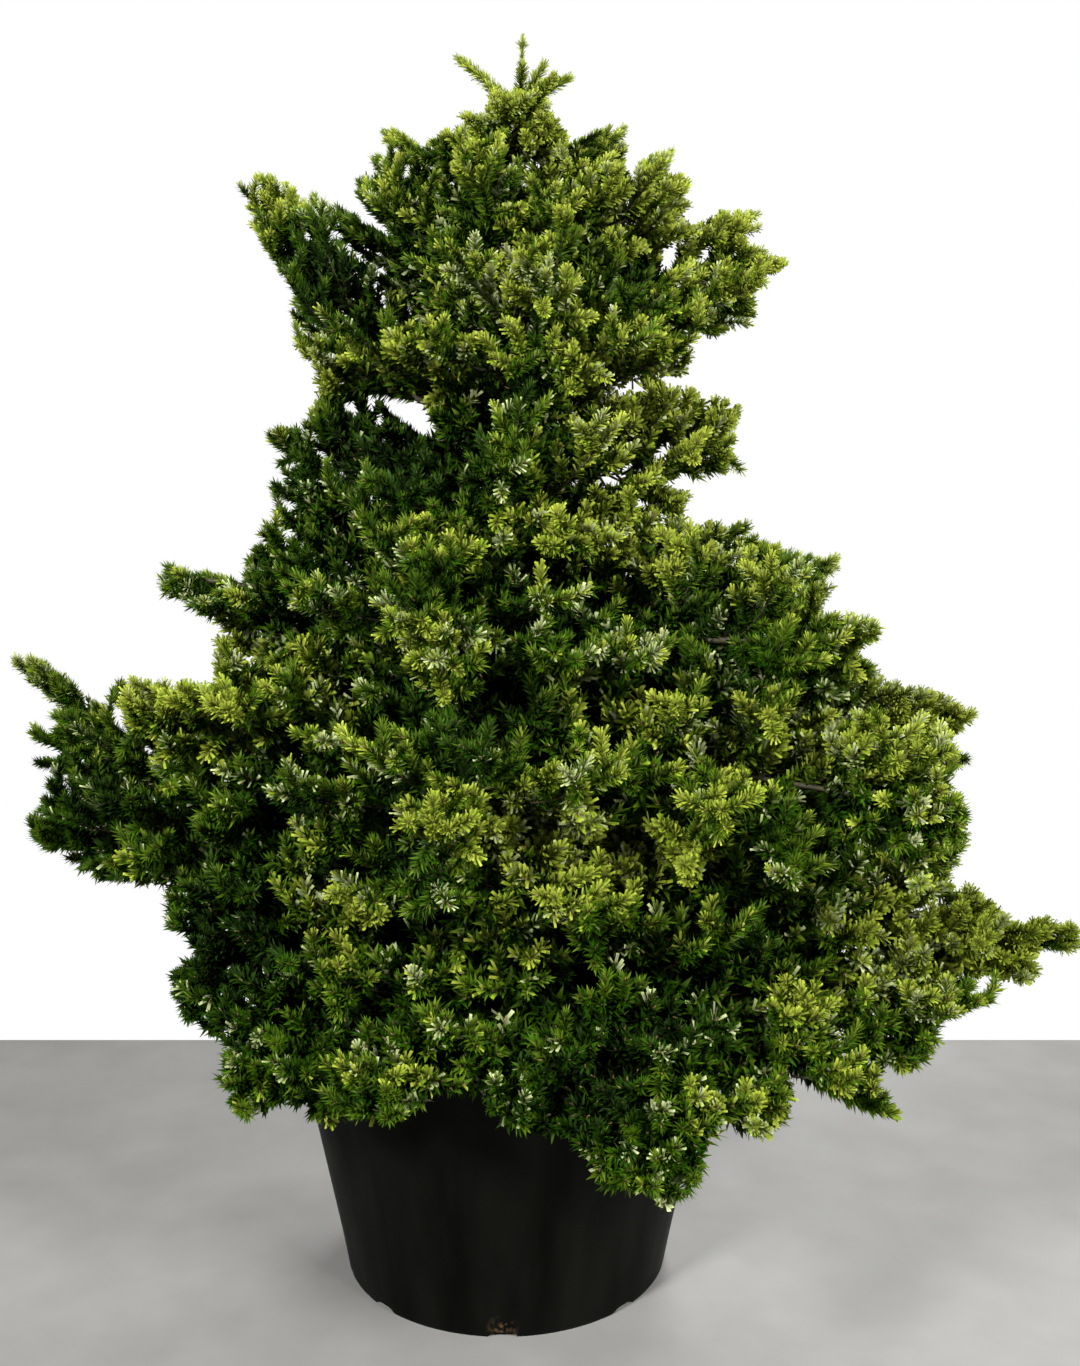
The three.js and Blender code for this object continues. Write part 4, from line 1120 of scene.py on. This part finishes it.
def grow_needles():
    """All needles of the plant with the green of each: on the outer part of the older twigs, all
    along the side shoots, and thin and short on the leader."""
    feet, tips = np.concatenate([twig_foot, shoot_foot]), np.concatenate([twig_tip, shoot_tip])
    light = light_on(np.concatenate([tips, (feet + tips) / 2]), shoot_foot, shoot_tip)
    tip_light, middle_light = light[:len(tips)], light[len(tips):]
    mass = np.concatenate([twig_mass, shoot_mass])
    order = BOUGHS["order"][mass]
    label = np.concatenate([twig_label, shoot_label])
    twig = np.arange(len(mass)) < len(twig_mass)
    # painted light and shade: each shoot's green follows the light that reaches it
    green = greens_by_painted_light(tip_light, tips, order, label)
    # more silver needles in these spots, partly painted highlights
    silver_and_highlight_share = patched(tips, SILVER_AND_HIGHLIGHT_SPOTS)
    length = np.linalg.norm(tips - feet, axis=-1)
    lit = np.clip(LIT_SLOPE * middle_light - LIT_LESS, 0, 1)
    long_twig = (label >= SPRAYS_FROM) | (label == END_LABEL)
    on_shoot = NEEDLES_IN_SHADE + (NEEDLES_IN_LIGHT - NEEDLES_IN_SHADE) * lit
    on_twig = np.where(long_twig, NEEDLES_ON_SPRAY, NEEDLES_ON_TWIG)
    thick = np.where(twig, on_twig, on_shoot)
    breadth = SHADE_BREADTH + (1 - SHADE_BREADTH) * lit + np.clip(1 - middle_light / MOST_SHADED, 0, 1)
    small = np.clip((tips[:, 2] - SMALL_FROM) / SMALL_OVER, 0, 1)
    reach = NEEDLE_LENGTH * (1 - SMALL_LOSS * small) * (1 + SHADE_LENGTH * (1 - lit))
    own = label + 0.37 * order
    corner_sets, colour_sets = [], []
    for kind, sag, start in ((twig, SAG, TWIG_START), (~twig, 0, SHOOT_START)):
        count = np.maximum(np.round(length * thick * (1 - start)), FEWEST_NEEDLES).astype(int)[kind]
        corners, shoot, share, number = needles_on(
            feet[kind], tips[kind], sag, count, start, own[kind], reach[kind], breadth[kind])
        each = own[kind][shoot]
        left = length[kind][shoot] * (1 - share)
        # older needles are darker, and the shoot's tip is lighter as painted light
        older_and_less_lit = np.minimum(left / TIP_STRETCH, TIP_DARKER) + (left > SECOND_YEAR)
        older_and_less_lit = older_and_less_lit + (left > OLD_WOOD) * OLD_GREENS
        varied = chance(each, number, 18) - 0.5
        colour = np.floor(green[kind][shoot] + YOUNG_FROM - older_and_less_lit + varied)
        colour = np.clip(colour, 0, SILVER_AND_HIGHLIGHT - 1).astype(int)
        turned = SILVER_STEEP * chance(each, 7, 22) - SILVER_LESS + silver_and_highlight_share[kind][shoot]
        silver_and_highlight = (chance(each, number, 17) < np.clip(turned, 0, MOST_SILVER)) & (colour > 1)
        corner_sets.append(corners)
        colour_sets.append(np.where(silver_and_highlight, SILVER_AND_HIGHLIGHT, colour))
    for some, thick, start, size, spread in LEADER_NEEDLES:
        foot, tip = leader_foot[some], leader_tip[some]
        count = np.round(np.linalg.norm(tip - foot, axis=-1) * thick).astype(int)
        full = np.full(len(foot), size)
        own = np.arange(len(foot)) + LEADER_FROM + thick
        corners, shoot, share, number = needles_on(
            foot, tip, 0, count, start, own, full, full / LEADER_BREADTH, spread)
        younger = [chance(shoot, number, 26 + i) < YOUNGER_SHARES[i] for i in range(2)]
        corner_sets.append(corners)
        colour_sets.append(LEADER_GREEN + younger[0] + younger[1])
    return np.concatenate(corner_sets), np.concatenate(colour_sets), tip_light


FOUR_CORNERS_FROM = 4  # the needles of the greens before this one come to a point
POINTED_WIDTH = 2.2  # and are this much wider at the foot
POINTED_LENGTH = 1.10  # and this much longer
MOST_NUMBERS = 1170000  # of the corners of one piece
MASS_NODES = sorted(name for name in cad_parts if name.startswith("mass_"))


def foliage(piece, material):
    """Dresses a piece that stands for all the masses."""
    piece.data.materials.append(material)
    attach(piece, "root")
    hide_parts(*MASS_NODES)


needle_corners, needle_green, tip_light = grow_needles()
for green, (name, dark, light, roughness) in enumerate(GREENS):
    material = needle_material(f"needles_{name}", dark, light, roughness)
    corners = needle_corners[needle_green == green]
    ends = [(0, 0), (0, 1), (1, 1), (1, 0)]
    if green < FOUR_CORNERS_FROM:
        middle, tip = corners[:, :2].mean(1), corners[:, 2:].mean(1)
        feet = middle[:, None] + (corners[:, :2] - middle[:, None]) * POINTED_WIDTH
        tip = middle + (tip - middle) * POINTED_LENGTH
        corners = np.concatenate([feet, tip[:, None]], 1)
        ends = [(0, 0), (0, 1), (1, 0.5)]
    parts = math.ceil(corners[0].size * len(corners) / MOST_NUMBERS)
    for part, some in enumerate(np.array_split(corners, parts)):
        faces = np.arange(some.shape[0] * some.shape[1]).reshape(-1, some.shape[1])
        label = f"needles_{name}_{part + 1}" if parts > 1 else f"needles_{name}"
        piece = put_mesh(label, some.reshape(-1, 3), faces)
        places = np.tile(np.array(ends, np.float32), (len(some), 1))
        piece.data.uv_layers.new(name="along").data.foreach_set("uv", places.ravel())
        foliage(piece, material)

# ---------------------------------------------------------------- twigs and buds


def twig_tubes(foot, tip, sag, foot_radius, tip_radius, steps):
    """Thin three-sided tubes along twigs, tapering in a straight line."""
    v = np.linspace(0, 1, steps + 1)
    paths = point_on(foot[:, None], tip[:, None], v[None, :, None], sag)
    foot_radius = np.broadcast_to(foot_radius, len(foot))[:, None]
    radii = foot_radius + (tip_radius - foot_radius) * v
    reference = unit(np.cross(tip - foot, np.array([0.3, 0.2, 0.93])))
    return tubes(paths, radii, 3, reference)


def spikes(foot, tip, radius):
    """Three-sided spikes: a ring of three points round each foot, and one point at the tip."""
    along = unit(tip - foot)
    aside, over = square_to(along, np.array([0.2, 0.3, 0.9]))
    ring = [foot + (aside * math.cos(turn) + over * math.sin(turn)) * radius for turn in turns(3)]
    points = np.stack(ring + [tip], 1)
    faces = np.array([(1, 0, 3), (2, 1, 3), (0, 2, 3), (0, 1, 2)])
    faces = faces[None] + (np.arange(len(tip)) * 4)[:, None, None]
    return points.reshape(-1, 3), faces.reshape(-1, 3)


young_bark = mottled("young_bark", (0.022, 0.020, 0.007), (0.055, 0.046, 0.017), 60, 0.65, 0.2)
bud_scale = mottled("bud_scale", (0.20, 0.12, 0.05), (0.34, 0.24, 0.12), 120, 0.45, 0.1)

LEADER_SHOOT_RADIUS = 0.0018
LIT_ENDS = 0.55  # share of light above which a twig or shoot ends in a bud
BUD_SUNK = 0.001

leader_width = np.where(np.arange(len(leader_tip)) == 0, TRUNK_TIP_RADIUS, LEADER_SHOOT_RADIUS)
points, fours, threes = joined([
    twig_tubes(twig_foot, twig_tip, SAG, TWIG_BASE_RADIUS, TWIG_END_RADIUS, TWIG_STEPS),
    twig_tubes(leader_foot, leader_tip, 0, leader_width, SHOOT_RADIUS, TWIG_STEPS),
])
foliage(put_mesh("twigs", points, fours, threes, smooth=True), young_bark)
foliage(put_mesh("shoots", *spikes(shoot_foot, shoot_tip, SHOOT_RADIUS)), young_bark)

outer = tip_light > LIT_ENDS
bud_feet = np.concatenate([np.concatenate([twig_foot, shoot_foot])[outer], leader_foot])
bud_tips = np.concatenate([np.concatenate([twig_tip, shoot_tip])[outer], leader_tip])
heading = unit(bud_tips - bud_feet)
bud_shapes = spikes(bud_tips - heading * BUD_SUNK, bud_tips + heading * BUD_LENGTH, BUD_RADIUS)
foliage(put_mesh("buds", *bud_shapes), bud_scale)

# ---------------------------------------------------------------- bark


def ripple(a, b, seed, waves, low, high):
    """A rough surface over two directions: a sum of sine waves with seeded headings and lengths.
    b is an angle, round which each wave fits a whole number of times."""
    total = np.zeros(np.broadcast(a, b).shape)
    for i in range(waves):
        rate = low + (high - low) * chance(seed, i, 31)
        lobes = np.round((chance(seed, i, 32) - 0.5) * 2 * high * 1.5)
        wave = np.sin(rate * a + lobes * b + FULL_TURN * chance(seed, i, 33))
        total = total + wave / math.sqrt(waves)
    return total


BARK_LENGTH = 0.02  # the unit of length for the relief's waves
LUMPS, FURROWS, RINGS = 0.035, 0.022, 0.05  # heights of the relief, as shares of the radius


def bark_tube(path, radius, places, sides, reference, seed):
    """A limb with the relief of its bark: broad lumps, furrows that wander, and rings where shoots
    once sat, which are the tops of a sine wave. Each of them is a share of the radius."""
    t = np.linspace(0, 1, places)
    centre, width = path(t), radius(t)
    turn = turns(sides)
    length = np.linalg.norm(np.diff(centre, axis=0), axis=-1).sum()
    run = (t * length / BARK_LENGTH)[:, None]
    lumps = ripple(run * 0.5, turn[None], seed, 10, 0.5, 2.0) * LUMPS
    furrows = ripple(run * 0.35, turn[None], seed + 1, 14, 0.3, 5.0) * FURROWS
    rings = np.maximum(np.sin(run * 1.9 + 1.2 * np.sin(turn[None] + seed)), 0) ** 8 * RINGS
    radii = width[:, None] * (1 + lumps + furrows + rings)
    return tubes(centre[None], radii[None], sides, reference[None])


TRUNK_RINGS, TRUNK_SIDES = 200, 32
LIMB_RINGS, LIMB_SIDES = 32, 12
STEM_RINGS, STEM_SIDES = 30, 7
TRUNK_SUNK = 0.004  # how deep the trunk stands in the soil
ROOT_RIDGES, RIDGE_SHARE, RIDGE_HEIGHT = 5, 0.12, 0.03  # their share of the radius at the soil


def trunk_bark():
    """The trunk from the soil to its tip, with its flare drawn out into low root ridges."""
    foot = SOIL_TOP + SOIL_CROWN - TRUNK_SUNK

    def centre(t):
        return trunk_centre(foot + (TRUNK_TOP - foot) * t)

    def radius(t):
        return trunk_radius(foot + (TRUNK_TOP - foot) * t)

    points, fours, threes = bark_tube(
        centre, radius, TRUNK_RINGS, TRUNK_SIDES, np.array([1.0, 0, 0]), 3)
    line = np.repeat(centre(np.linspace(0, 1, TRUNK_RINGS)), TRUNK_SIDES, 0)
    turn = np.tile(turns(TRUNK_SIDES), TRUNK_RINGS)
    fade = np.exp(-(line[:, 2] - foot) / RIDGE_HEIGHT)
    ridges = fade * RIDGE_SHARE * np.sin(ROOT_RIDGES * turn + 0.7)
    points[:len(line)] = line + (points[:len(line)] - line) * (1 + ridges[:, None])
    return points, fours, threes


old_bark = mottled(
    "old_bark", (0.020, 0.013, 0.007), (0.062, 0.043, 0.026), 22, 0.85, 0.6, 0.002,
    stretch=(1, 1, 0.6))

trunk = put_mesh("trunk_bark", *trunk_bark(), smooth=True)
trunk.data.materials.append(old_bark)
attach(trunk, "root")
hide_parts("trunk")


def limb_bark(mass):
    """A bough's bare limb, from inside the trunk to where its mass begins."""
    start, wood = BOUGHS["start"][mass], BOUGHS["wood"][mass]
    return bark_tube(
        lambda t: bough_path(mass, t * start), lambda t: wood * (1 - (1 - LIMB_TIP) * t),
        LIMB_RINGS, LIMB_SIDES, BOUGHS["side"][mass], 10 + mass)


def stem_bark(mass):
    """The stem of a mass, which carries its bough on to the tip, or starts inside the trunk. It
    ends sooner where it would be seen against the sky."""
    start, wood = BOUGHS["start"][mass], BOUGHS["wood"][mass]
    first = start if start > 0 else STEM_START
    thick = wood * (LIMB_TIP if start > 0 else STEM_FOOT)
    tried = np.linspace(first + STEM_LEAST * (STEM_END - first), STEM_END, 40)
    seen = against_sky(bough_path(mass, tried), 0.8 * SKY_EDGE)
    last = tried[max(seen.argmax() - 1, 0)] if seen.any() else STEM_END
    return bark_tube(
        lambda t: bough_path(mass, first + (last - first) * t),
        lambda t: thick * (1 - (1 - STEM_TIP) * t),
        STEM_RINGS, STEM_SIDES, BOUGHS["side"][mass], 60 + mass)


limb_nodes = sorted(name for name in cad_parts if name.startswith("bough_"))
points, fours, threes = joined([limb_bark(mass) for mass in LIMBED])
limbs = put_mesh("bough_bark", points, fours, threes, smooth=True)
limbs.data.materials.append(old_bark)
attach(limbs, "root")
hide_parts(*limb_nodes)

points, fours, threes = joined([stem_bark(mass) for mass in MASSES])
foliage(put_mesh("stems", points, fours, threes, smooth=True), young_bark)

# ---------------------------------------------------------------- pot

POT_COLUMNS = 216
WALL_ROWS = 22
OUTER_ROWS = WALL_ROWS + 7  # of the section below the collar
COLLAR_EDGE = 0.002  # radius of the collar's lower edge
ROLL = 0.004  # and of the rim's roll
ROLL_ROWS = 12
EDGE_ROWS = 6
FLUTES, FLUTE_DEPTH = 12, 0.0016
FLUTE_FOOT, FLUTE_TOP = 0.05, 0.03  # heights over which they fade out, at the foot and collar
ARCH_STEEP = 1.25  # above 1, the arch of a notch has a flat top


def pot_radius(height):
    """The wall's outer radius by height, a straight taper."""
    return POT_FOOT_RADIUS + POT_TAPER * height


def pot_profile():
    """The pot's section from the middle of its underside, round the foot, up the wall and its
    rolled rim, and down inside to the middle of its floor: radius, height, and how far the drain
    notches draw that point up."""
    collar = POT_HEIGHT - RIM_DROP
    wall = np.linspace(0.012, collar - 0.004, WALL_ROWS)
    edge = np.linspace(0, np.pi / 2, EDGE_ROWS)
    roll = np.linspace(0, np.pi, ROLL_ROWS)
    edge_radius, edge_height = RIM_RADIUS - COLLAR_EDGE, collar + COLLAR_EDGE
    roll_radius, roll_height = RIM_RADIUS - ROLL, POT_HEIGHT - ROLL
    return np.array([
        (0, 0, 0), (POT_FOOT_RADIUS - NOTCH_DEPTH - 0.002, 0, 0),
        (POT_FOOT_RADIUS - NOTCH_DEPTH, 0, 1), (POT_FOOT_RADIUS - 0.0012, 0, 1),
        (POT_FOOT_RADIUS, 0.0015, 0.9), (pot_radius(0.006), 0.006, 0.45),
        *[(pot_radius(height), height, 0) for height in wall],
        (pot_radius(collar) + 0.0005, collar - 0.001, 0), (pot_radius(collar) + 0.003, collar, 0),
        *[(edge_radius + COLLAR_EDGE * math.sin(a), edge_height - COLLAR_EDGE * math.cos(a), 0)
          for a in edge],
        (RIM_RADIUS - 0.001, collar + 0.012, 0), (RIM_RADIUS, POT_HEIGHT - 0.006, 0),
        *[(roll_radius + ROLL * math.cos(a), roll_height + ROLL * math.sin(a), 0) for a in roll],
        (pot_radius(POT_HEIGHT) - POT_WALL, POT_HEIGHT - 0.014, 0),
        (pot_radius(SOIL_TOP) - POT_WALL, SOIL_TOP, 0),
        (pot_radius(POT_FLOOR) - POT_WALL, POT_FLOOR, 0), (0, POT_FLOOR, 0),
    ])


def pot_mesh():
    """The section carried round the pot's axis. Each notch is a smooth arch in the foot, and the
    wall has shallow flutes that fade out towards the foot and the collar."""
    profile = pot_profile()
    turn = turns(POT_COLUMNS)
    between = 2 * np.pi / NOTCH_COUNT
    apart = np.mod(turn + np.pi / 2 + between / 2, between) - between / 2
    half = NOTCH_WIDTH / 2 / POT_FOOT_RADIUS
    arch = np.clip(ARCH_STEEP * (1 - (apart / half) ** 2), 0, 1) ** 0.5 * NOTCH_HEIGHT
    radius, height, notch = profile.T[:, :, None]
    outer = (np.arange(len(profile)) < OUTER_ROWS)[:, None]
    below_collar = POT_HEIGHT - RIM_DROP - height
    fade = np.clip(height / FLUTE_FOOT, 0, 1) * np.clip(below_collar / FLUTE_TOP, 0, 1)
    flute = -FLUTE_DEPTH * np.abs(np.sin(FLUTES / 2 * turn)) ** 6 * fade * outer
    lifted = np.maximum(height, notch * arch + height * (1 - np.minimum(notch, 1)))
    round_out = radius + flute
    points = np.stack([round_out * np.cos(turn), round_out * np.sin(turn), lifted + 0 * turn], -1)
    rows, columns = points.shape[:2]
    points = points.reshape(-1, 3)
    fours = bands(rows - 1, columns, 1)
    low = fan(columns, 0, columns)[:, [1, 0, 2]]
    last = (rows - 2) * columns
    high = fan(last, last + columns, columns)
    return points, fours.reshape(-1, 4), np.concatenate([low, high])


STAIN_WIDTH, STAIN_DEPTH, STAIN_HEIGHT = 0.022, 0.030, 0.024


def pot_plastic():
    """Black moulded plastic: satin, with faint upright streaks of painted highlight, and a rusty stain
    over the front drain notch that fades out upwards and to both sides."""
    material, nodes, shader, place = new_material("pot_plastic", 0.42, 0.03)
    mottle = mottle_node(nodes, 13, (0.0014, 0.0016, 0.0011), (0.0060, 0.0062, 0.0048))
    # the mottle drawn out upright into faint streaks of painted highlight
    painted_highlight_streaks = new_node(nodes, "Mapping", {"Scale": (1, 1, 0.12)})
    centred = new_node(nodes, "Mapping", {
        "Location": (0, 1.2 * POT_FOOT_RADIUS / STAIN_DEPTH, -0.5),
        "Scale": (1 / STAIN_WIDTH, 1.2 / STAIN_DEPTH, 1 / STAIN_HEIGHT),
    })
    away = new_node(nodes, "VectorMath", {})
    away.operation = "LENGTH"
    near = new_node(nodes, "MapRange", {"From Min": 1.0, "From Max": 0.2})
    specks = new_node(nodes, "TexNoise", {"Scale": 150, "Detail": 4})
    sharp = new_node(nodes, "MapRange", {"From Min": 0.48, "From Max": 0.60})
    stain = new_product(nodes, {})
    mix = new_mix(nodes, {7: (0.075, 0.045, 0.022, 1)})
    worn = new_node(nodes, "MapRange", {"To Min": 0.36, "To Max": 0.54})
    relief = new_node(nodes, "Bump", {"Strength": 0.12, "Distance": 0.0004})
    link(
        material.node_tree,
        (place["Object"], painted_highlight_streaks.inputs["Vector"]),
        (painted_highlight_streaks.outputs["Vector"], mottle.inputs["Place"]),
        (place["Object"], specks.inputs["Vector"]), (place["Object"], centred.inputs["Vector"]),
        (centred.outputs["Vector"], away.inputs[0]), (away.outputs["Value"], near.inputs["Value"]),
        (specks.outputs["Fac"], sharp.inputs["Value"]), (near.outputs["Result"], stain.inputs[0]),
        (sharp.outputs["Result"], stain.inputs[1]), (stain.outputs[0], mix.inputs["Factor"]),
        (mottle.outputs["Color"], mix.inputs[6]), (mix.outputs[2], shader["Base Color"]),
        (mottle.outputs["Height"], worn.inputs["Value"]), (worn.outputs["Result"], shader["Roughness"]),
        (mottle.outputs["Height"], relief.inputs["Height"]), (relief.outputs["Normal"], shader["Normal"]),
    )
    return material


pot = put_mesh("pot_shell", *pot_mesh(), smooth=True)
pot.data.materials.append(pot_plastic())
pot.data.shade_smooth()
pot.data.set_sharp_from_angle(angle=math.radians(38))
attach(pot, "root")
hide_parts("pot")

# ---------------------------------------------------------------- soil


CLOD_WAVES = 24
CLOD_LEAST, CLOD_MORE = 40, 260  # radians in each metre of a wave, and how many more by chance
CLOD_RATE, CLOD_HEIGHT = 150, 0.0011  # of a wave in between, from which the others follow
SOIL_SUNK = 0.002  # the ground's mean height, below the solid's


def soil_height(radius, turn):
    """The ground's height: level round the trunk, falling a little to the wall, with clods."""
    edge = pot_radius(SOIL_TOP) - POT_WALL
    fall = np.clip((radius - SOIL_MOUND) / (edge - SOIL_MOUND), 0, 1)
    level = SOIL_TOP + SOIL_CROWN - (SOIL_CROWN + SOIL_DIP) * fall
    x, y = radius * np.cos(turn), radius * np.sin(turn)
    clods = np.zeros(np.broadcast(radius, turn).shape)
    for i in range(CLOD_WAVES):
        heading, rate = FULL_TURN * chance(7, i, 41), CLOD_LEAST + CLOD_MORE * chance(7, i, 42)
        across = x * math.cos(heading) + y * math.sin(heading)
        wave = np.sin(rate * across + FULL_TURN * chance(7, i, 43))
        clods = clods + wave * CLOD_HEIGHT * math.sqrt(CLOD_RATE / rate)
    return level + clods - SOIL_SUNK


SOIL_RINGS, SOIL_SPOKES = 46, 130


def soil_mesh():
    """A round field of ground out to the pot's wall, on rings and spokes, closed underneath."""
    edge = pot_radius(SOIL_TOP) - POT_WALL - 2 * GAP
    radius = np.concatenate([[0], np.linspace(0.02, edge, SOIL_RINGS)])[:, None]
    turn = turns(SOIL_SPOKES)[None]
    height = soil_height(radius, turn)
    top = np.stack([radius * np.cos(turn), radius * np.sin(turn), height], -1)
    under = top[-1].copy()
    under[:, :2] *= (pot_radius(0.02) - POT_WALL - 2 * GAP) / edge
    under[:, 2] = POT_FLOOR + GAP
    points = np.concatenate([top.reshape(-1, 3), under, [[0, 0, POT_FLOOR + GAP]]])
    fours = bands(SOIL_RINGS + 2, SOIL_SPOKES, 1)[..., ::-1]
    top_fan = fan(SOIL_SPOKES, 0, SOIL_SPOKES)[:, [2, 0, 1]]
    low_fan = fan((SOIL_RINGS + 1) * SOIL_SPOKES, len(points) - 1, SOIL_SPOKES)[:, [1, 0, 2]]
    return points, fours.reshape(-1, 4), np.concatenate([top_fan, low_fan])


CHIP_COUNT = 900
CHIP_LEAST = np.array([0.005, 0.003, 0.0012])  # half length, half width and half height
CHIP_MORE = np.array([0.010, 0.004, 0.002])  # and how much more by chance
CHIP_FROM = 0.05  # the chips keep this far from the pot's axis
CHIP_EDGE = 0.014  # and from its wall
CHIP_LIFT = 0.0012  # their middle above the ground's mean height there


def bark_chips():
    """Chips of bark on the ground: flat boxes of seeded size and heading, half sunk in."""
    number = np.arange(CHIP_COUNT)
    edge = pot_radius(SOIL_TOP) - POT_WALL - CHIP_EDGE
    radius = CHIP_FROM + (edge - CHIP_FROM) * np.sqrt(chance(8, number, 51))
    turn, heading = FULL_TURN * chance(8, number, 52), FULL_TURN * chance(8, number, 53)
    chances = np.stack([chance(8, number, use) for use in (54, 55, 56)], -1)
    size = CHIP_LEAST + CHIP_MORE * chances
    corner = np.array([(x, y, z) for z in (-1, 1) for x, y in ((-1, -1), (1, -1), (1, 1), (-1, 1))])
    worn = 1 + 0.3 * (chance(9, number[:, None] * 8 + np.arange(8), 57) - 0.5)
    x, y, z = np.moveaxis(corner[None] * size[:, None] * worn[..., None], -1, 0)
    z = z + 0.5 * (chance(8, number, 58) - 0.5)[:, None] * x
    c, s = np.cos(heading)[:, None], np.sin(heading)[:, None]
    middle_x, middle_y = (radius * np.cos(turn))[:, None], (radius * np.sin(turn))[:, None]
    x, y = x * c - y * s + middle_x, x * s + y * c + middle_y
    z = z + (soil_height(radius, turn) + CHIP_LIFT)[:, None]
    box = np.array([(3, 2, 1, 0), (4, 5, 6, 7), (0, 1, 5, 4), (1, 2, 6, 5), (2, 3, 7, 6), (3, 0, 4, 7)])
    faces = (box[None] + (number * 8)[:, None, None]).reshape(-1, 4)
    return np.stack([x, y, z], -1).reshape(-1, 3), faces


soil_earth = mottled("soil_earth", (0.014, 0.009, 0.006), (0.045, 0.028, 0.018), 70, 0.95, 1.0, 0.004)
chip_bark = mottled("chip_bark", (0.045, 0.025, 0.014), (0.13, 0.075, 0.040), 45, 0.9, 0.6, 0.002)

soil = put_mesh("soil_ground", *soil_mesh(), smooth=True)
soil.data.materials.append(soil_earth)
chips = put_mesh("bark_chips", *bark_chips())
chips.data.materials.append(chip_bark)
for piece in (soil, chips):
    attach(piece, "root")
    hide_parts("soil")

# ---------------------------------------------------------------- floor, light and camera

FLOOR_HALF = 4  # half the floor's width
FLOOR_FRONT, FLOOR_BACK = -5, 0.79  # and its two ends
ROOM_LIGHT = 0.095  # what the surround gives, as a share of how bright it shows
AIM = (0, 0, 0.8)  # the point that the lights are turned to
LIGHTS = [
    ("key_left", (-1.7, -2.6, 2.2), 0.6, 165),
    ("key_right", (1.9, -2.4, 2.2), 0.6, 140),
    ("fill_back", (0.9, 2.9, 2.3), 1.2, 125),
]


def add_floor():
    """A pale floor, which ends a little behind the plant, with faint scuffs."""
    points = [(x, y, 0) for y, side in ((FLOOR_FRONT, 1), (FLOOR_BACK, -1))
              for x in (-side * FLOOR_HALF, side * FLOOR_HALF)]
    floor = put_mesh("floor", points, np.array([[0, 1, 2, 3]]))
    floor.data.materials.append(mottled(
        "floor_paint", (0.258, 0.254, 0.243), (0.292, 0.288, 0.277), 7, 0.7, 0.05))


def add_light(name, place, size, power):
    """A square soft light at a place, turned to the aim."""
    light = bpy.data.lights.new(name, "AREA")
    light.shape = "SQUARE"
    light.size = size
    light.energy = power
    lamp = bpy.data.objects.new(name, light)
    lamp.location = place
    lamp.rotation_euler = (Vector(AIM) - Vector(place)).to_track_quat("-Z", "Y").to_euler()
    bpy.context.scene.collection.objects.link(lamp)


def add_camera():
    """The camera, level with the crown's middle and tilted down a little."""
    camera = bpy.data.cameras.new("camera")
    camera.sensor_width = SENSOR
    camera.lens = LENS
    seat = bpy.data.objects.new("camera", camera)
    seat.location = Vector(EYE)
    seat.rotation_euler = (math.pi / 2 - EYE_DROP, 0, 0)
    bpy.context.scene.collection.objects.link(seat)
    bpy.context.scene.camera = seat


def add_world():
    """A white surround that shines less on the plant than it shows behind it."""
    world = bpy.data.worlds.new("studio")
    world.use_nodes = True
    nodes = world.node_tree.nodes
    background = nodes["Background"]
    background.inputs["Color"].default_value = (1, 1, 1, 1)
    path = nodes.new("ShaderNodeLightPath")
    strength = new_node(nodes, "MapRange", {"To Min": ROOM_LIGHT, "To Max": 1.0})
    link(
        world.node_tree,
        (path.outputs["Is Camera Ray"], strength.inputs["Value"]),
        (strength.outputs["Result"], background.inputs["Strength"]),
    )
    bpy.context.scene.world = world


add_floor()
add_world()
for light in LIGHTS:
    add_light(*light)
add_camera()
bpy.context.scene.view_settings.view_transform = "Standard"
